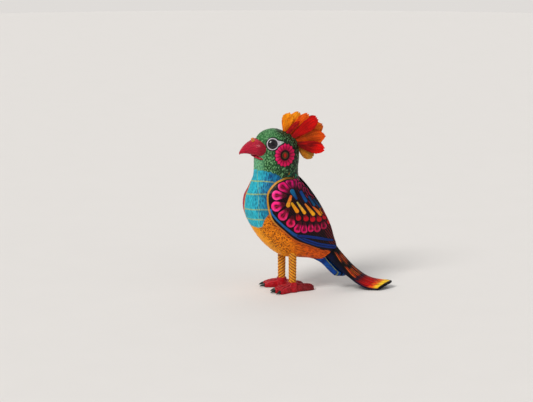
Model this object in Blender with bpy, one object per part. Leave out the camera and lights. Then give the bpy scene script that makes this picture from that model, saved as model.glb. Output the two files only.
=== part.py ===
"""A carved and painted wooden parrot, standing on two feet, with wings, tail and crest that plug in.

Lengths are in millimetres until new_object() scales them to metres. The figure is modelled about a
point on the floor between its feet, facing -Y with its left side at +X, and the empty named figure
then carries all of it to the frame whose origin is under the middle of the figure's box.
"""

import math

import bmesh
import bpy
from mathutils import Matrix, Vector

MM = 0.001
GAP = 0.3  # between two pieces that touch
CUTTER_OVERSHOOT = 20.0  # how far a socket's cutter reaches past the face that it opens
FLOOR_TO_FRAME_Y = -40.3  # where the point between the feet lies in the finished frame

# --- driving dimensions -------------------------------------------------------------------------

# Body sections from the tail end to the crown: (y, z) on the belly or breast, (y, z) on the back,
# the half width, and how far the front narrows towards the beak.
BODY_STATIONS = (
    ((43.6, 41.0), (67.0, 60.6), 12.1, 0.0),
    ((30.4, 44.6), (61.5, 71.5), 18.1, 0.0),
    ((14.2, 46.2), (54.0, 84.0), 23.7, 0.0),
    ((-5.1, 48.0), (46.5, 96.5), 28.4, 0.0),
    ((-22.2, 57.3), (39.8, 108.5), 31.6, 0.0),
    ((-38.4, 72.9), (32.8, 122.2), 33.5, 0.0),
    ((-52.4, 94.4), (25.7, 135.2), 33.0, 0.0),
    ((-60.4, 114.8), (19.6, 147.4), 30.7, 0.0),
    ((-60.3, 132.0), (16.1, 157.6), 27.4, 0.0),
    ((-53.2, 147.1), (14.9, 165.7), 25.1, 0.04),
    ((-47.7, 159.2), (15.1, 173.7), 24.0, 0.08),
    ((-46.1, 170.8), (15.9, 181.8), 24.2, 0.14),
    ((-46.1, 182.3), (16.4, 190.3), 24.9, 0.22),
    ((-45.5, 193.4), (15.6, 199.4), 25.3, 0.32),
    ((-44.5, 204.5), (12.5, 207.4), 24.4, 0.34),
    ((-42.6, 214.0), (7.3, 214.5), 21.4, 0.26),
    ((-36.8, 221.0), (-0.5, 220.7), 15.3, 0.1),
    ((-29.0, 224.9), (-10.0, 224.6), 8.4, 0.0),
)
BODY_CROWN = (-19.0, 226.4)
BODY_RING_POINTS = 32
BODY_STEPS = 2  # rings between one station and the next

# Beak sections from inside the head to the tip: (y, z) below, (y, z) above, half width.
UPPER_BEAK_STATIONS = (
    ((-30.0, 189.3), (-30.0, 212.5), 19.5),
    ((-37.0, 189.8), (-37.0, 213.5), 19.0),
    ((-42.0, 190.3), (-43.0, 213.0), 17.5),
    ((-48.5, 191.3), (-49.5, 210.8), 14.0),
    ((-55.0, 192.6), (-56.5, 206.2), 10.0),
    ((-60.5, 192.6), (-62.0, 200.6), 6.3),
    ((-64.6, 191.8), (-65.6, 195.2), 3.2),
)
UPPER_BEAK_TIP = (-66.4, 191.2)
LOWER_BEAK_STATIONS = (
    ((-29.0, 182.6), (-29.0, 188.7), 21.5),
    ((-35.0, 183.2), (-35.0, 189.2), 20.5),
    ((-41.0, 184.8), (-41.0, 189.7), 17.5),
    ((-46.0, 187.6), (-46.2, 190.3), 11.5),
)
LOWER_BEAK_TIP = (-50.5, 190.6)
BEAK_RING_POINTS = 20
BEAK_PEG = (Vector((0.0, -33.0, 202.0)), Vector((0.0, -54.0, 202.0)), 3.0)  # two ends, radius

# A wing's edge as (y, z), from the shoulder's front over its top to the tip and back underneath.
WING_EDGE = (
    (-30.1, 129.5),
    (-28.7, 143.5),
    (-19.2, 155.2),
    (-10.4, 159.9),
    (-0.9, 162.4),
    (13.1, 159.2),
    (26.1, 147.0),
    (39.2, 129.6),
    (50.4, 112.1),
    (58.7, 94.5),
    (64.0, 76.9),
    (67.2, 67.5),
    (69.2, 58.3),
    (58.0, 57.6),
    (43.7, 60.3),
    (26.2, 67.3),
    (7.9, 75.3),
    (-9.2, 90.0),
    (-20.2, 100.3),
    (-26.2, 110.4),
)
WING_TIP_INDEX = 12
WING_ROOT = (0.0, 126.0)  # (y, z) of the middle of the rounded shoulder
WING_CROWN = 39.5  # how far out the wing's face stands where it is highest
WING_CREST = (10.0, -15.0)  # where that is: towards the tip from the root, and across from it
WING_FALL_ALONG = 0.0034  # how fast the face falls away towards the tip, per millimetre squared
WING_FALL_ACROSS = 0.005  # and across the wing
WING_THICKNESS = 7.5
WING_EDGE_THINNING = 0.3  # how much of its thickness the wing has lost at its edge
WING_RIM = 2.2  # how much the face drops at the very edge
WING_PEGS = ((-11.0, 128.0), (18.0, 100.0))  # (y, z)
WING_PEG_RADIUS = 2.5
WING_PEG_DEPTH = 13.0  # in the body
WING_PEG_IN_WING = 4.2

# Tail ridges as (y, z), from inside the body to the tip.
TAIL_RIDGE = (
    (57.0, 72.5),
    (66.0, 63.5),
    (75.0, 51.8),
    (87.3, 37.5),
    (96.0, 29.0),
    (104.7, 21.8),
    (113.0, 16.6),
    (122.1, 13.2),
    (134.0, 10.8),
    (147.0, 9.4),
)
TAIL_HALF_WIDTH = (8.7, 17.5, 21.5)  # at the root, the middle and the tip
TAIL_DROP = (6.0, 12.0, 3.6)  # how far the edges hang below the ridge
TAIL_THICKNESS = (15.0, 3.6, 2.6)
TAIL_GRADUATION = 0.15  # how much of the length the outermost feathers lack
UNDER_TAIL_RIDGE = (
    (44.0, 56.0),
    (50.5, 48.3),
    (57.9, 37.8),
    (68.1, 26.6),
    (81.0, 18.5),
)
UNDER_TAIL_HALF_WIDTH = (8.0, 12.0, 11.5)
UNDER_TAIL_DROP = (2.0, 4.5, 4.0)
UNDER_TAIL_THICKNESS = (10.0, 3.4, 2.4)
UNDER_TAIL_GRADUATION = 0.24
BLADE_COLUMNS = 10
BLADE_ROWS = 12
GRADUATION_CURVE = 1.3  # higher numbers keep more of a tail's middle feathers long
ARCH_CURVE = 1.7  # and these keep more of its width level before the edges drop
TAIL_END_NORMAL = Vector((0.0, 0.642, -0.767))  # square to the cut end of the body
# Each peg: where its axis crosses the cut end, the way it pulls out, its radius, and how far it
# reaches into the body and into its tail board.
TAIL_PEG = (Vector((0.0, 59.1, 54.0)), Vector((0.0, 1.0, 0.0)), 2.0, 8.5, 7.0)
UNDER_TAIL_PEG = (Vector((0.0, 48.3, 44.9)), TAIL_END_NORMAL, 2.0, 8.5, 8.5)

# The crest: a plug let into the back of the head, with feathers fanned out of its face.
CREST_MOUTH = ((-6.0, 222.2), (15.0, 201.2))  # (y, z) of the two ends of the plug's face
CREST_PLUG_DEPTH = 12.0
CREST_PLUG_WIDTH = 8.8
CREST_PROUD = 1.2  # how far the plug stands out of the head
CREST_BLOCK_RISE = 14.0  # how far past the mouth the plug's block and slot reach before trimming
# Each feather: its place along the mouth from 0 to 1, its tip (y, z) and its full width.
ORANGE_FEATHERS = (
    (0.07, (2.8, 247.4), 13.0),
    (0.22, (15.8, 247.2), 13.0),
    (0.36, (27.2, 245.6), 11.0),
    (0.54, (47.6, 230.6), 16.0),
    (0.68, (51.6, 215.4), 16.0),
    (0.95, (34.6, 186.6), 14.0),
)
RED_FEATHERS = (
    (0.17, (15.4, 236.8), 7.5),
    (0.46, (40.0, 239.6), 17.0),
    (0.78, (49.0, 198.4), 17.0),
)
FEATHER_THICKNESS = 1.7
FEATHER_ROOT_WIDTH = 2.8
ORANGE_LAYER_X = 1.1  # the middle feathers lie on either side of the middle by turns
RED_LAYER_X = 3.3  # where the side layers leave the plug
RED_LAYER_SPLAY = 5.2  # how much further out their tips stand
FEATHER_STEPS = 9
FEATHER_WIDEST = 0.72  # the shares of its length where a feather is widest, and where it is cut off
FEATHER_END = 0.985
FEATHER_ROUNDING = 0.29  # how much of its length the rounded tip would take to reach a point
FEATHER_FLAT = 0.4  # the share of its width that has the full thickness
FEATHER_THINNING = 0.35

# Eyes and nostrils: centre, the way each faces, and radius. Positions are the left one's.
EYE_CENTRE = Vector((23.5, -21.9, 208.6))
EYE_FACING = Vector((0.955, -0.12, 0.27))
EYE_RADIUS = 6.2
EYE_DOME = 2.3
BEAD_POINTS = 16
BEAD_STEPS = 3
NOSTRIL_CENTRE = Vector((7.2, -47.2, 210.6))
NOSTRIL_FACING = Vector((0.42, -0.3, 0.86))
NOSTRIL_RADIUS = 2.4
NOSTRIL_DOME = 1.7
BEAD_SEAT_DEPTH = 1.7

# Legs and feet. The right leg stands a step ahead of the left one.
LEG_X = 16.0
LEG_STEP = 6.3
LEG_RADIUS_TOP = 5.6
LEG_RADIUS_BOTTOM = 5.1
LEG_TENON_RADIUS = 3.0
LEG_TENON_TOP = 64.0
LEG_TENON_IN_BODY = 14.0  # about how much of the tenon the body hides
LEG_POST_TOP = 66.0  # where the post ends before the belly shapes its shoulder
ANKLE_HEIGHT = 14.0
ANKLE_RADIUS = 6.6
ANKLE_FLARE = 2.0
FOOT_TENON_DEPTH = 8.0
TOE_OUT = 18.0  # degrees that each foot turns outwards
SIDE_TOE_ANGLE = 22.0
MIDDLE_TOE = 26.0
SIDE_TOE = 24.0
BACK_TOE = 32.0
TOE_HALF_WIDTH = 5.1
TOE_HEIGHT = 11.2
TOE_POINTS = 8
# Shares of a toe's length, with its width and height there, as shares of the full ones.
CLAWED_TOE = ((0.0, 0.9, 1.12), (0.4, 1.0, 1.0), (0.75, 0.94, 0.84), (1.0, 0.74, 0.6))
ROUND_TOE = ((0.0, 0.9, 1.12), (0.4, 1.0, 1.0), (0.75, 0.95, 0.9), (0.9, 0.8, 0.8), (1.0, 0.45, 0.5))
# Ankle and toes are made to different depths below the floor and then sawn off level, so that no
# two of their faces coincide.
ANKLE_BELOW = 3.0
TOES_BELOW = (1.0, 1.5, 2.0)
BACK_TOE_BELOW = 2.5
SAW_WIDTH = 200.0
SAW_DEPTH = 20.0
CLAW_RADIUS = 2.5
CLAW_LENGTH = 7.0
CLAW_POINTS = 10
CLAW_STEPS = 4
CLAW_HEIGHT = 3.4  # of its middle at the toe, above the floor
CLAW_HOOK = 2.4  # how far its middle drops on the way to the tip
CLAW_TIP_HEIGHT = 0.9
CLAW_NARROWING = 0.8

# --- colours ------------------------------------------------------------------------------------

PAINTS = {
    "body_green": (0.05, 0.22, 0.08),
    "orange": (0.85, 0.33, 0.02),
    "red": (0.55, 0.01, 0.02),
    "wing_black": (0.02, 0.01, 0.03),
    "claw_black": (0.01, 0.02, 0.01),
    "eye_black": (0.005, 0.005, 0.006),
    "yellow": (0.85, 0.55, 0.05),
    "blue": (0.01, 0.08, 0.4),
    "leg_orange": (0.85, 0.42, 0.04),
    "bare_wood": (0.6, 0.42, 0.24),
}
LACQUER_ROUGHNESS = 0.42
BARE_ROUGHNESS = 0.75


def paint(name):
    """The material of one paint, made the first time it is asked for."""
    if name in bpy.data.materials:
        return bpy.data.materials[name]
    made = bpy.data.materials.new(name)
    made.use_nodes = True
    shader = made.node_tree.nodes["Principled BSDF"]
    shader.inputs["Base Color"].default_value = (*PAINTS[name], 1.0)
    shader.inputs["Metallic"].default_value = 0.0
    roughness = BARE_ROUGHNESS if name == "bare_wood" else LACQUER_ROUGHNESS
    shader.inputs["Roughness"].default_value = roughness
    return made


# --- helpers ------------------------------------------------------------------------------------


def new_object(name, bm, colour, parent, smooth_angle=40.0):
    """Turns a bmesh in millimetres into an object in metres, shaded smooth but for its sharp edges."""
    bmesh.ops.recalc_face_normals(bm, faces=bm.faces)
    bmesh.ops.scale(bm, vec=(MM, MM, MM), verts=bm.verts)
    mesh = bpy.data.meshes.new(name)
    bm.to_mesh(mesh)
    bm.free()
    mesh.materials.append(paint(colour))
    mesh.shade_smooth()
    mesh.set_sharp_from_angle(angle=math.radians(smooth_angle))
    made = bpy.data.objects.new(name, mesh)
    bpy.context.scene.collection.objects.link(made)
    made.parent = parent
    return made


def as_cutter(helper):
    """Marks an object as a tool for Boolean modifiers, which isn't part of the figure."""
    helper.hide_render = True
    helper.display_type = "WIRE"
    return helper


def boolean(target, operation, *others):
    for other in others:
        modifier = target.modifiers.new(f"{operation.lower()}_{other.name}", "BOOLEAN")
        modifier.operation = operation
        modifier.solver = "EXACT"
        modifier.object = other


def smooth_between(values, t, closed=False):
    """A point on the Catmull-Rom curve through values, which are numbers or vectors."""
    count = len(values)
    i = int(math.floor(t))
    if not closed:
        i = max(0, min(count - 2, i))
    f = t - i

    def at(k):
        return values[k % count] if closed else values[max(0, min(count - 1, k))]

    before, here, after, beyond = at(i - 1), at(i), at(i + 1), at(i + 2)
    return (
        here * (1.0 - 2.5 * f * f + 1.5 * f**3)
        + after * (0.5 * f + 2.0 * f * f - 1.5 * f**3)
        + before * (-0.5 * f + f * f - 0.5 * f**3)
        + beyond * (-0.5 * f * f + 0.5 * f**3)
    )


def three_way(values, v):
    """A smooth change from the first of three values to the last, through the middle one."""
    first, middle, last = values
    if v < 0.5:
        f = v / 0.5
        return first + (middle - first) * f * f * (3.0 - 2.0 * f)
    f = (v - 0.5) / 0.5
    return middle + (last - middle) * f * f


def bridge_rings(bm, rings):
    """Joins rings of vertices, each to the next, with quads."""
    for ring, following in zip(rings, rings[1:]):
        count = len(ring)
        for k in range(count):
            bm.faces.new((ring[k], ring[(k + 1) % count], following[(k + 1) % count], following[k]))


def close_to_point(bm, ring, point):
    tip = bm.verts.new(point)
    for k in range(len(ring)):
        bm.faces.new((ring[k], ring[(k + 1) % len(ring)], tip))


def oval_ring(bm, low, high, half_width, face, grow, count):
    """A ring in the plane of low, high and X. face narrows the half next to low."""
    low, high = Vector(low), Vector(high)
    middle, half = (low + high) / 2.0, (high - low) / 2.0
    half = half * (1.0 + grow / half.length)
    ring = []
    for k in range(count):
        angle = 2.0 * math.pi * k / count
        along, side = math.cos(angle), math.sin(angle)
        taper = 1.0 - face * max(0.0, -along) ** 2
        place = middle + half * along
        ring.append(bm.verts.new(((half_width + grow) * side * taper, place.x, place.y)))
    return ring


def cylinder(bm, start, end, start_radius, end_radius, segments=16):
    start, end = Vector(start), Vector(end)
    axis = end - start
    turn = Vector((0.0, 0.0, 1.0)).rotation_difference(axis).to_matrix().to_4x4()
    bmesh.ops.create_cone(
        bm,
        cap_ends=True,
        segments=segments,
        radius1=start_radius,
        radius2=end_radius,
        depth=axis.length,
        matrix=Matrix.Translation((start + end) / 2.0) @ turn,
    )


def dowel(name, start, end, radius, colour, parent):
    bm = bmesh.new()
    cylinder(bm, start, end, radius, radius)
    return new_object(name, bm, colour, parent)


def hole(name, start, end, radius, parent):
    """A cutter for the socket of a dowel of that radius and length."""
    reach = (Vector(end) - Vector(start)).normalized() * GAP
    bm = bmesh.new()
    cylinder(bm, start, Vector(end) + reach, radius + GAP, radius + GAP)
    return as_cutter(new_object(name, bm, "bare_wood", parent))


def side_name(side, what):
    return f"{'left' if side > 0 else 'right'}_{what}"


def on_side(side, point):
    """The left side's point, or its mirror image on the right side."""
    return Vector((side * point[0], point[1], point[2]))


# --- body ---------------------------------------------------------------------------------------


def body_solid(bm, grow=0.0):
    """The body, neck and head in one. grow is how far its surface is moved out all round."""
    lows = [Vector(s[0]) for s in BODY_STATIONS]
    highs = [Vector(s[1]) for s in BODY_STATIONS]
    widths = [s[2] for s in BODY_STATIONS]
    faces = [s[3] for s in BODY_STATIONS]
    rings = []
    last = len(BODY_STATIONS) - 1
    for k in range(last * BODY_STEPS + 1):
        t = k / BODY_STEPS
        low, high = smooth_between(lows, t), smooth_between(highs, t)
        width, face = smooth_between(widths, t), max(0.0, smooth_between(faces, t))
        rings.append(oval_ring(bm, low, high, width, face, grow, BODY_RING_POINTS))
    for v in rings[0]:
        v.co += TAIL_END_NORMAL * grow
    bridge_rings(bm, rings)
    bm.faces.new(rings[0])
    close_to_point(bm, rings[-1], (0.0, BODY_CROWN[0], BODY_CROWN[1] + grow))


def make_body(figure):
    bm = bmesh.new()
    body_solid(bm)
    return new_object("body", bm, "body_green", figure)


def make_body_gauge(figure):
    """The body moved out by the gap, which cuts each piece that has to fit against it."""
    bm = bmesh.new()
    body_solid(bm, GAP)
    return as_cutter(new_object("body_gauge", bm, "bare_wood", figure))


# --- beak, eyes and nostrils --------------------------------------------------------------------


def beak_half(name, stations, tip, gauge, figure):
    bm = bmesh.new()
    rings = [oval_ring(bm, low, high, w, 0.0, 0.0, BEAK_RING_POINTS) for low, high, w in stations]
    bridge_rings(bm, rings)
    bm.faces.new(rings[0])
    close_to_point(bm, rings[-1], (0.0, *tip))
    made = new_object(name, bm, "red", figure)
    boolean(made, "DIFFERENCE", gauge)
    return made


def make_beak(body, gauge, figure):
    upper = beak_half("upper_beak", UPPER_BEAK_STATIONS, UPPER_BEAK_TIP, gauge, figure)
    beak_half("lower_beak", LOWER_BEAK_STATIONS, LOWER_BEAK_TIP, gauge, figure)
    inner, outer, radius = BEAK_PEG
    past = (outer - inner).normalized() * CUTTER_OVERSHOOT
    dowel("beak_peg", inner, outer, radius, "bare_wood", figure)
    to_head = hole("beak_peg_hole_in_head", outer + past, inner, radius, figure)
    to_beak = hole("beak_peg_hole_in_beak", inner - past, outer, radius, figure)
    boolean(body, "DIFFERENCE", to_head)
    boolean(upper, "DIFFERENCE", to_beak)
    return upper


def bead(name, centre, facing, radius, dome, colour, host, figure):
    """A domed bead in a round seat, which is cut into its host."""
    facing = facing.normalized()
    turn = Vector((0.0, 0.0, 1.0)).rotation_difference(facing).to_matrix().to_4x4()
    bm = bmesh.new()
    rings = []
    for depth in (-BEAD_SEAT_DEPTH, 0.0):
        rings.append([bm.verts.new(p) for p in circle_points(radius, depth, BEAD_POINTS)])
    for k in range(1, BEAD_STEPS):
        angle = 0.5 * math.pi * k / BEAD_STEPS
        points = circle_points(radius * math.cos(angle), dome * math.sin(angle), BEAD_POINTS)
        rings.append([bm.verts.new(p) for p in points])
    bridge_rings(bm, rings)
    bm.faces.new(rings[0])
    close_to_point(bm, rings[-1], (0.0, 0.0, dome))
    bmesh.ops.transform(bm, matrix=Matrix.Translation(centre) @ turn, verts=bm.verts)
    new_object(name, bm, colour, figure)
    seat_end = centre - facing * BEAD_SEAT_DEPTH
    seat_mouth = centre + facing * CUTTER_OVERSHOOT
    seat = hole(f"{name}_seat", seat_mouth, seat_end, radius, figure)
    boolean(host, "DIFFERENCE", seat)


def circle_points(radius, height, count):
    angles = [2.0 * math.pi * k / count for k in range(count)]
    return [(radius * math.cos(a), radius * math.sin(a), height) for a in angles]


# --- wings --------------------------------------------------------------------------------------


def wing_face(y, z):
    """How far out the wing's face stands at (y, z), edge rounding left out."""
    tip = Vector(WING_EDGE[WING_TIP_INDEX])
    root = Vector(WING_ROOT)
    along = (tip - root).normalized()
    across = Vector((-along.y, along.x))
    place = Vector((y, z)) - root
    a, b = place.dot(along) - WING_CREST[0], place.dot(across) - WING_CREST[1]
    return WING_CROWN - WING_FALL_ALONG * a * a - WING_FALL_ACROSS * b * b


def wing_edge_points():
    """The wing's edge, smooth but for the corner at its tip."""
    points = [Vector(p) for p in WING_EDGE]
    ordered = points[WING_TIP_INDEX:] + points[: WING_TIP_INDEX + 1]
    per_span = 2
    total = (len(ordered) - 1) * per_span
    return [smooth_between(ordered, k / per_span) for k in range(total)]


def make_wing(side, body, gauge, figure):
    edge = wing_edge_points()
    root = Vector(WING_ROOT)
    bm = bmesh.new()
    # Rings of the outer face from the middle out, as shares of the way to the edge, and how much of
    # the rim's drop each has. The inner face's rings have the same shares.
    shares = (0.3, 0.6, 0.82, 0.94, 1.0)
    drops = (0.0, 0.0, 0.1, 0.4, 1.0)
    outer, inner = [], []
    for share, drop in zip(shares, drops):
        places = [root + (p - root) * share for p in edge]
        heights = [wing_face(p.x, p.y) - WING_RIM * drop for p in places]
        outer.append([bm.verts.new((side * h, p.x, p.y)) for h, p in zip(heights, places)])
    for share in reversed(shares):
        places = [root + (p - root) * share for p in edge]
        thickness = WING_THICKNESS * (1.0 - WING_EDGE_THINNING * share)
        heights = [wing_face(p.x, p.y) - thickness for p in places]
        inner.append([bm.verts.new((side * h, p.x, p.y)) for h, p in zip(heights, places)])
    bridge_rings(bm, outer + inner)
    face = wing_face(root.x, root.y)
    close_to_point(bm, outer[0], (side * face, root.x, root.y))
    close_to_point(bm, inner[-1], (side * (face - WING_THICKNESS), root.x, root.y))
    wing = new_object(side_name(side, "wing"), bm, "wing_black", figure)
    boolean(wing, "DIFFERENCE", gauge)
    for number, (y, z) in enumerate(WING_PEGS, start=1):
        seat = wing_face(y, z) - WING_THICKNESS
        start = (side * (seat - WING_PEG_DEPTH), y, z)
        end = (side * (seat + WING_PEG_IN_WING), y, z)
        name = side_name(side, f"wing_peg_{number}")
        dowel(name, start, end, WING_PEG_RADIUS, "bare_wood", figure)
        outside = (side * (seat + CUTTER_OVERSHOOT), y, z)
        in_body = hole(f"{name}_hole_in_body", outside, start, WING_PEG_RADIUS, figure)
        inside = (side * (seat - CUTTER_OVERSHOOT), y, z)
        in_wing = hole(f"{name}_hole_in_wing", inside, end, WING_PEG_RADIUS, figure)
        boolean(body, "DIFFERENCE", in_body)
        boolean(wing, "DIFFERENCE", in_wing)


# --- tail ---------------------------------------------------------------------------------------


def make_blade(name, ridge, half_widths, drops, thicknesses, graduation, colour, gauge, figure):
    """A tail board arched across its width, whose middle feathers reach further than its outer ones."""
    points = [Vector(p) for p in ridge]
    last = len(points) - 1
    bm = bmesh.new()
    top, bottom = [], []
    for row in range(BLADE_ROWS + 1):
        upper_row, lower_row = [], []
        for column in range(BLADE_COLUMNS + 1):
            u = 2.0 * column / BLADE_COLUMNS - 1.0
            v = row / BLADE_ROWS * (1.0 - graduation * abs(u) ** GRADUATION_CURVE)
            place = smooth_between(points, v * last)
            ahead = smooth_between(points, min(1.0, v + 0.02) * last)
            behind = smooth_between(points, max(0.0, v - 0.02) * last)
            run = (ahead - behind).normalized()
            up = Vector((-run.y, run.x))
            x = three_way(half_widths, v) * u
            centre = place - up * three_way(drops, v) * abs(u) ** ARCH_CURVE
            under = centre - up * three_way(thicknesses, v)
            upper_row.append(bm.verts.new((x, centre.x, centre.y)))
            lower_row.append(bm.verts.new((x, under.x, under.y)))
        top.append(upper_row)
        bottom.append(lower_row)
    for row in range(BLADE_ROWS + 1):
        top[row] = top[row] + bottom[row][::-1]
    bridge_rings(bm, top)
    for end in (top[0], top[-1]):
        for column in range(BLADE_COLUMNS):
            mirrored = len(end) - 1 - column
            bm.faces.new((end[column], end[column + 1], end[mirrored - 1], end[mirrored]))
    made = new_object(name, bm, colour, figure)
    boolean(made, "DIFFERENCE", gauge)
    return made


def fix_blade(blade, name, peg, body, figure):
    """The peg that holds a tail board, with its two sockets."""
    middle, pull, radius, into_body, into_blade = peg
    start, end = middle - pull * into_body, middle + pull * into_blade
    dowel(name, start, end, radius, "bare_wood", figure)
    past = pull * CUTTER_OVERSHOOT
    in_body = hole(f"{name}_hole_in_body", middle + past, start, radius, figure)
    in_tail = hole(f"{name}_hole_in_tail", middle - past, end, radius, figure)
    boolean(body, "DIFFERENCE", in_body)
    boolean(blade, "DIFFERENCE", in_tail)


def make_tails(body, gauge, figure):
    tail = make_blade(
        "upper_tail",
        TAIL_RIDGE,
        TAIL_HALF_WIDTH,
        TAIL_DROP,
        TAIL_THICKNESS,
        TAIL_GRADUATION,
        "wing_black",
        gauge,
        figure,
    )
    under = make_blade(
        "under_tail",
        UNDER_TAIL_RIDGE,
        UNDER_TAIL_HALF_WIDTH,
        UNDER_TAIL_DROP,
        UNDER_TAIL_THICKNESS,
        UNDER_TAIL_GRADUATION,
        "blue",
        gauge,
        figure,
    )
    fix_blade(tail, "upper_tail_peg", TAIL_PEG, body, figure)
    fix_blade(under, "under_tail_peg", UNDER_TAIL_PEG, body, figure)


# --- crest --------------------------------------------------------------------------------------


def crest_frame():
    """The middle of the plug's face, the way along its mouth, and the way it pulls out."""
    first, second = (Vector((0.0, *p)) for p in CREST_MOUTH)
    along = (second - first).normalized()
    out = Vector((0.0, -along.z, along.y))
    return (first + second) / 2.0, along, out, (second - first).length


def crest_block(bm, grow):
    """The plug's straight-sided block, from its floor in the head to well outside it."""
    middle, along, out, length = crest_frame()
    half = Vector((CREST_PLUG_WIDTH / 2.0 + grow, 0.0, 0.0))
    run = along * (length / 2.0 + grow)
    floor = middle - out * (CREST_PLUG_DEPTH + grow)
    roof = middle + out * CREST_BLOCK_RISE
    rings = []
    for level in (floor, roof):
        corners = (level - half - run, level + half - run, level + half + run, level - half + run)
        rings.append([bm.verts.new(c) for c in corners])
    bridge_rings(bm, rings)
    bm.faces.new(rings[0])
    bm.faces.new(rings[1])


def make_crest_plug(body, figure):
    bm = bmesh.new()
    crest_block(bm, 0.0)
    plug = new_object("crest_plug", bm, "body_green", figure)
    bm = bmesh.new()
    body_solid(bm, CREST_PROUD)
    proud_body = as_cutter(new_object("crest_plug_face", bm, "bare_wood", figure))
    boolean(plug, "INTERSECT", proud_body)
    bm = bmesh.new()
    crest_block(bm, GAP)
    slot = as_cutter(new_object("crest_slot", bm, "bare_wood", figure))
    boolean(body, "DIFFERENCE", slot)
    bm = bmesh.new()
    body_solid(bm, CREST_PROUD + GAP)
    return as_cutter(new_object("crest_feather_gauge", bm, "bare_wood", figure))


def feather(name, place, tip, width, root_x, tip_x, colour, gauge, figure):
    """A thin carved slip, narrow at its root and widest near its rounded tip. The gauge trims its root
    to the plug's face."""
    middle, along, out, length = crest_frame()
    root = middle + along * length * (place - 0.5)
    root.x = root_x
    end = Vector((tip_x, *tip))
    run = end - root
    across = Vector((0.0, -run.z, run.y)).normalized()
    normal = run.cross(across).normalized()
    bm = bmesh.new()
    rings = []
    for k in range(FEATHER_STEPS):
        f = k / (FEATHER_STEPS - 1) * FEATHER_END
        swell = math.sin(0.5 * math.pi * min(1.0, f / FEATHER_WIDEST))
        half = FEATHER_ROOT_WIDTH / 2.0 + (width - FEATHER_ROOT_WIDTH) / 2.0 * swell**1.3
        if f > FEATHER_WIDEST:
            half *= math.sqrt(max(0.0, 1.0 - ((f - FEATHER_WIDEST) / FEATHER_ROUNDING) ** 2))
        thick = normal * FEATHER_THICKNESS / 2.0 * (1.0 - FEATHER_THINNING * f)
        spine = root + run * f
        side, flat = across * half, across * half * FEATHER_FLAT
        ring = (
            spine - side,
            spine - flat + thick,
            spine + flat + thick,
            spine + side,
            spine + flat - thick,
            spine - flat - thick,
        )
        rings.append([bm.verts.new(p) for p in ring])
    bridge_rings(bm, rings)
    bm.faces.new(rings[0])
    bm.faces.new(rings[-1])
    slip = new_object(name, bm, colour, figure)
    boolean(slip, "DIFFERENCE", gauge)


def make_crest(body, figure):
    gauge = make_crest_plug(body, figure)
    for number, (place, tip, width) in enumerate(ORANGE_FEATHERS, start=1):
        x = ORANGE_LAYER_X if number % 2 else -ORANGE_LAYER_X
        name = f"crest_feather_orange_{number}"
        feather(name, place, tip, width, x, x, "orange", gauge, figure)
    for side in (1, -1):
        root_x, tip_x = side * RED_LAYER_X, side * (RED_LAYER_X + RED_LAYER_SPLAY)
        for number, (place, tip, width) in enumerate(RED_FEATHERS, start=1):
            name = side_name(side, f"crest_feather_red_{number}")
            feather(name, place, tip, width, root_x, tip_x, "red", gauge, figure)


# --- legs and feet ------------------------------------------------------------------------------


def leg_place(side):
    return Vector((side * LEG_X, side * LEG_STEP, 0.0))


def make_leg(side, body, gauge, figure):
    """A post with a tenon at each end. The body gauge shapes its shoulder to the belly."""
    foot = leg_place(side)
    bm = bmesh.new()
    ankle = foot + Vector((0.0, 0.0, ANKLE_HEIGHT + GAP))
    post_top = foot + Vector((0.0, 0.0, LEG_POST_TOP))
    cylinder(bm, ankle, post_top, LEG_RADIUS_BOTTOM, LEG_RADIUS_TOP)
    leg = new_object(side_name(side, "leg"), bm, "leg_orange", figure)
    boolean(leg, "DIFFERENCE", gauge)
    low = foot + Vector((0.0, 0.0, ANKLE_HEIGHT - FOOT_TENON_DEPTH))
    high = foot + Vector((0.0, 0.0, LEG_TENON_TOP))
    bm = bmesh.new()
    cylinder(bm, low, high, LEG_TENON_RADIUS, LEG_TENON_RADIUS)
    name = side_name(side, "leg_tenon")
    tenon = as_cutter(new_object(name, bm, "bare_wood", figure))
    boolean(leg, "UNION", tenon)
    below = high - Vector((0.0, 0.0, LEG_TENON_IN_BODY + CUTTER_OVERSHOOT))
    socket = hole(f"{name}_hole_in_body", below, high, LEG_TENON_RADIUS, figure)
    boolean(body, "DIFFERENCE", socket)
    above = foot + Vector((0.0, 0.0, ANKLE_HEIGHT + CUTTER_OVERSHOOT))
    return hole(f"{name}_hole_in_foot", above, low, LEG_TENON_RADIUS, figure)


def toe_ring(bm, centre, heading, half_width, height, below):
    """A D-shaped section, whose flat side lies that far below the floor."""
    across = Vector((-heading.y, heading.x, 0.0))
    ring = []
    for k in range(TOE_POINTS + 1):
        angle = math.pi * k / TOE_POINTS
        rise = Vector((0.0, 0.0, height * math.sin(angle) ** 0.8 - below))
        ring.append(bm.verts.new(centre + across * half_width * math.cos(angle) + rise))
    return ring


def make_toe(name, ankle, degrees, length, below, shape, figure):
    """One toe as a body of its own, for a Boolean to join to the ankle."""
    angle = math.radians(degrees)
    heading = Vector((math.sin(angle), -math.cos(angle), 0.0))
    bm = bmesh.new()
    rings = []
    for share, wide, high in shape:
        centre = ankle + heading * length * share
        half_width, height = TOE_HALF_WIDTH * wide, TOE_HEIGHT * high + below
        rings.append(toe_ring(bm, centre, heading, half_width, height, below))
    bridge_rings(bm, rings)
    bm.faces.new(rings[0])
    bm.faces.new(rings[-1])
    return as_cutter(new_object(name, bm, "red", figure)), heading


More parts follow.
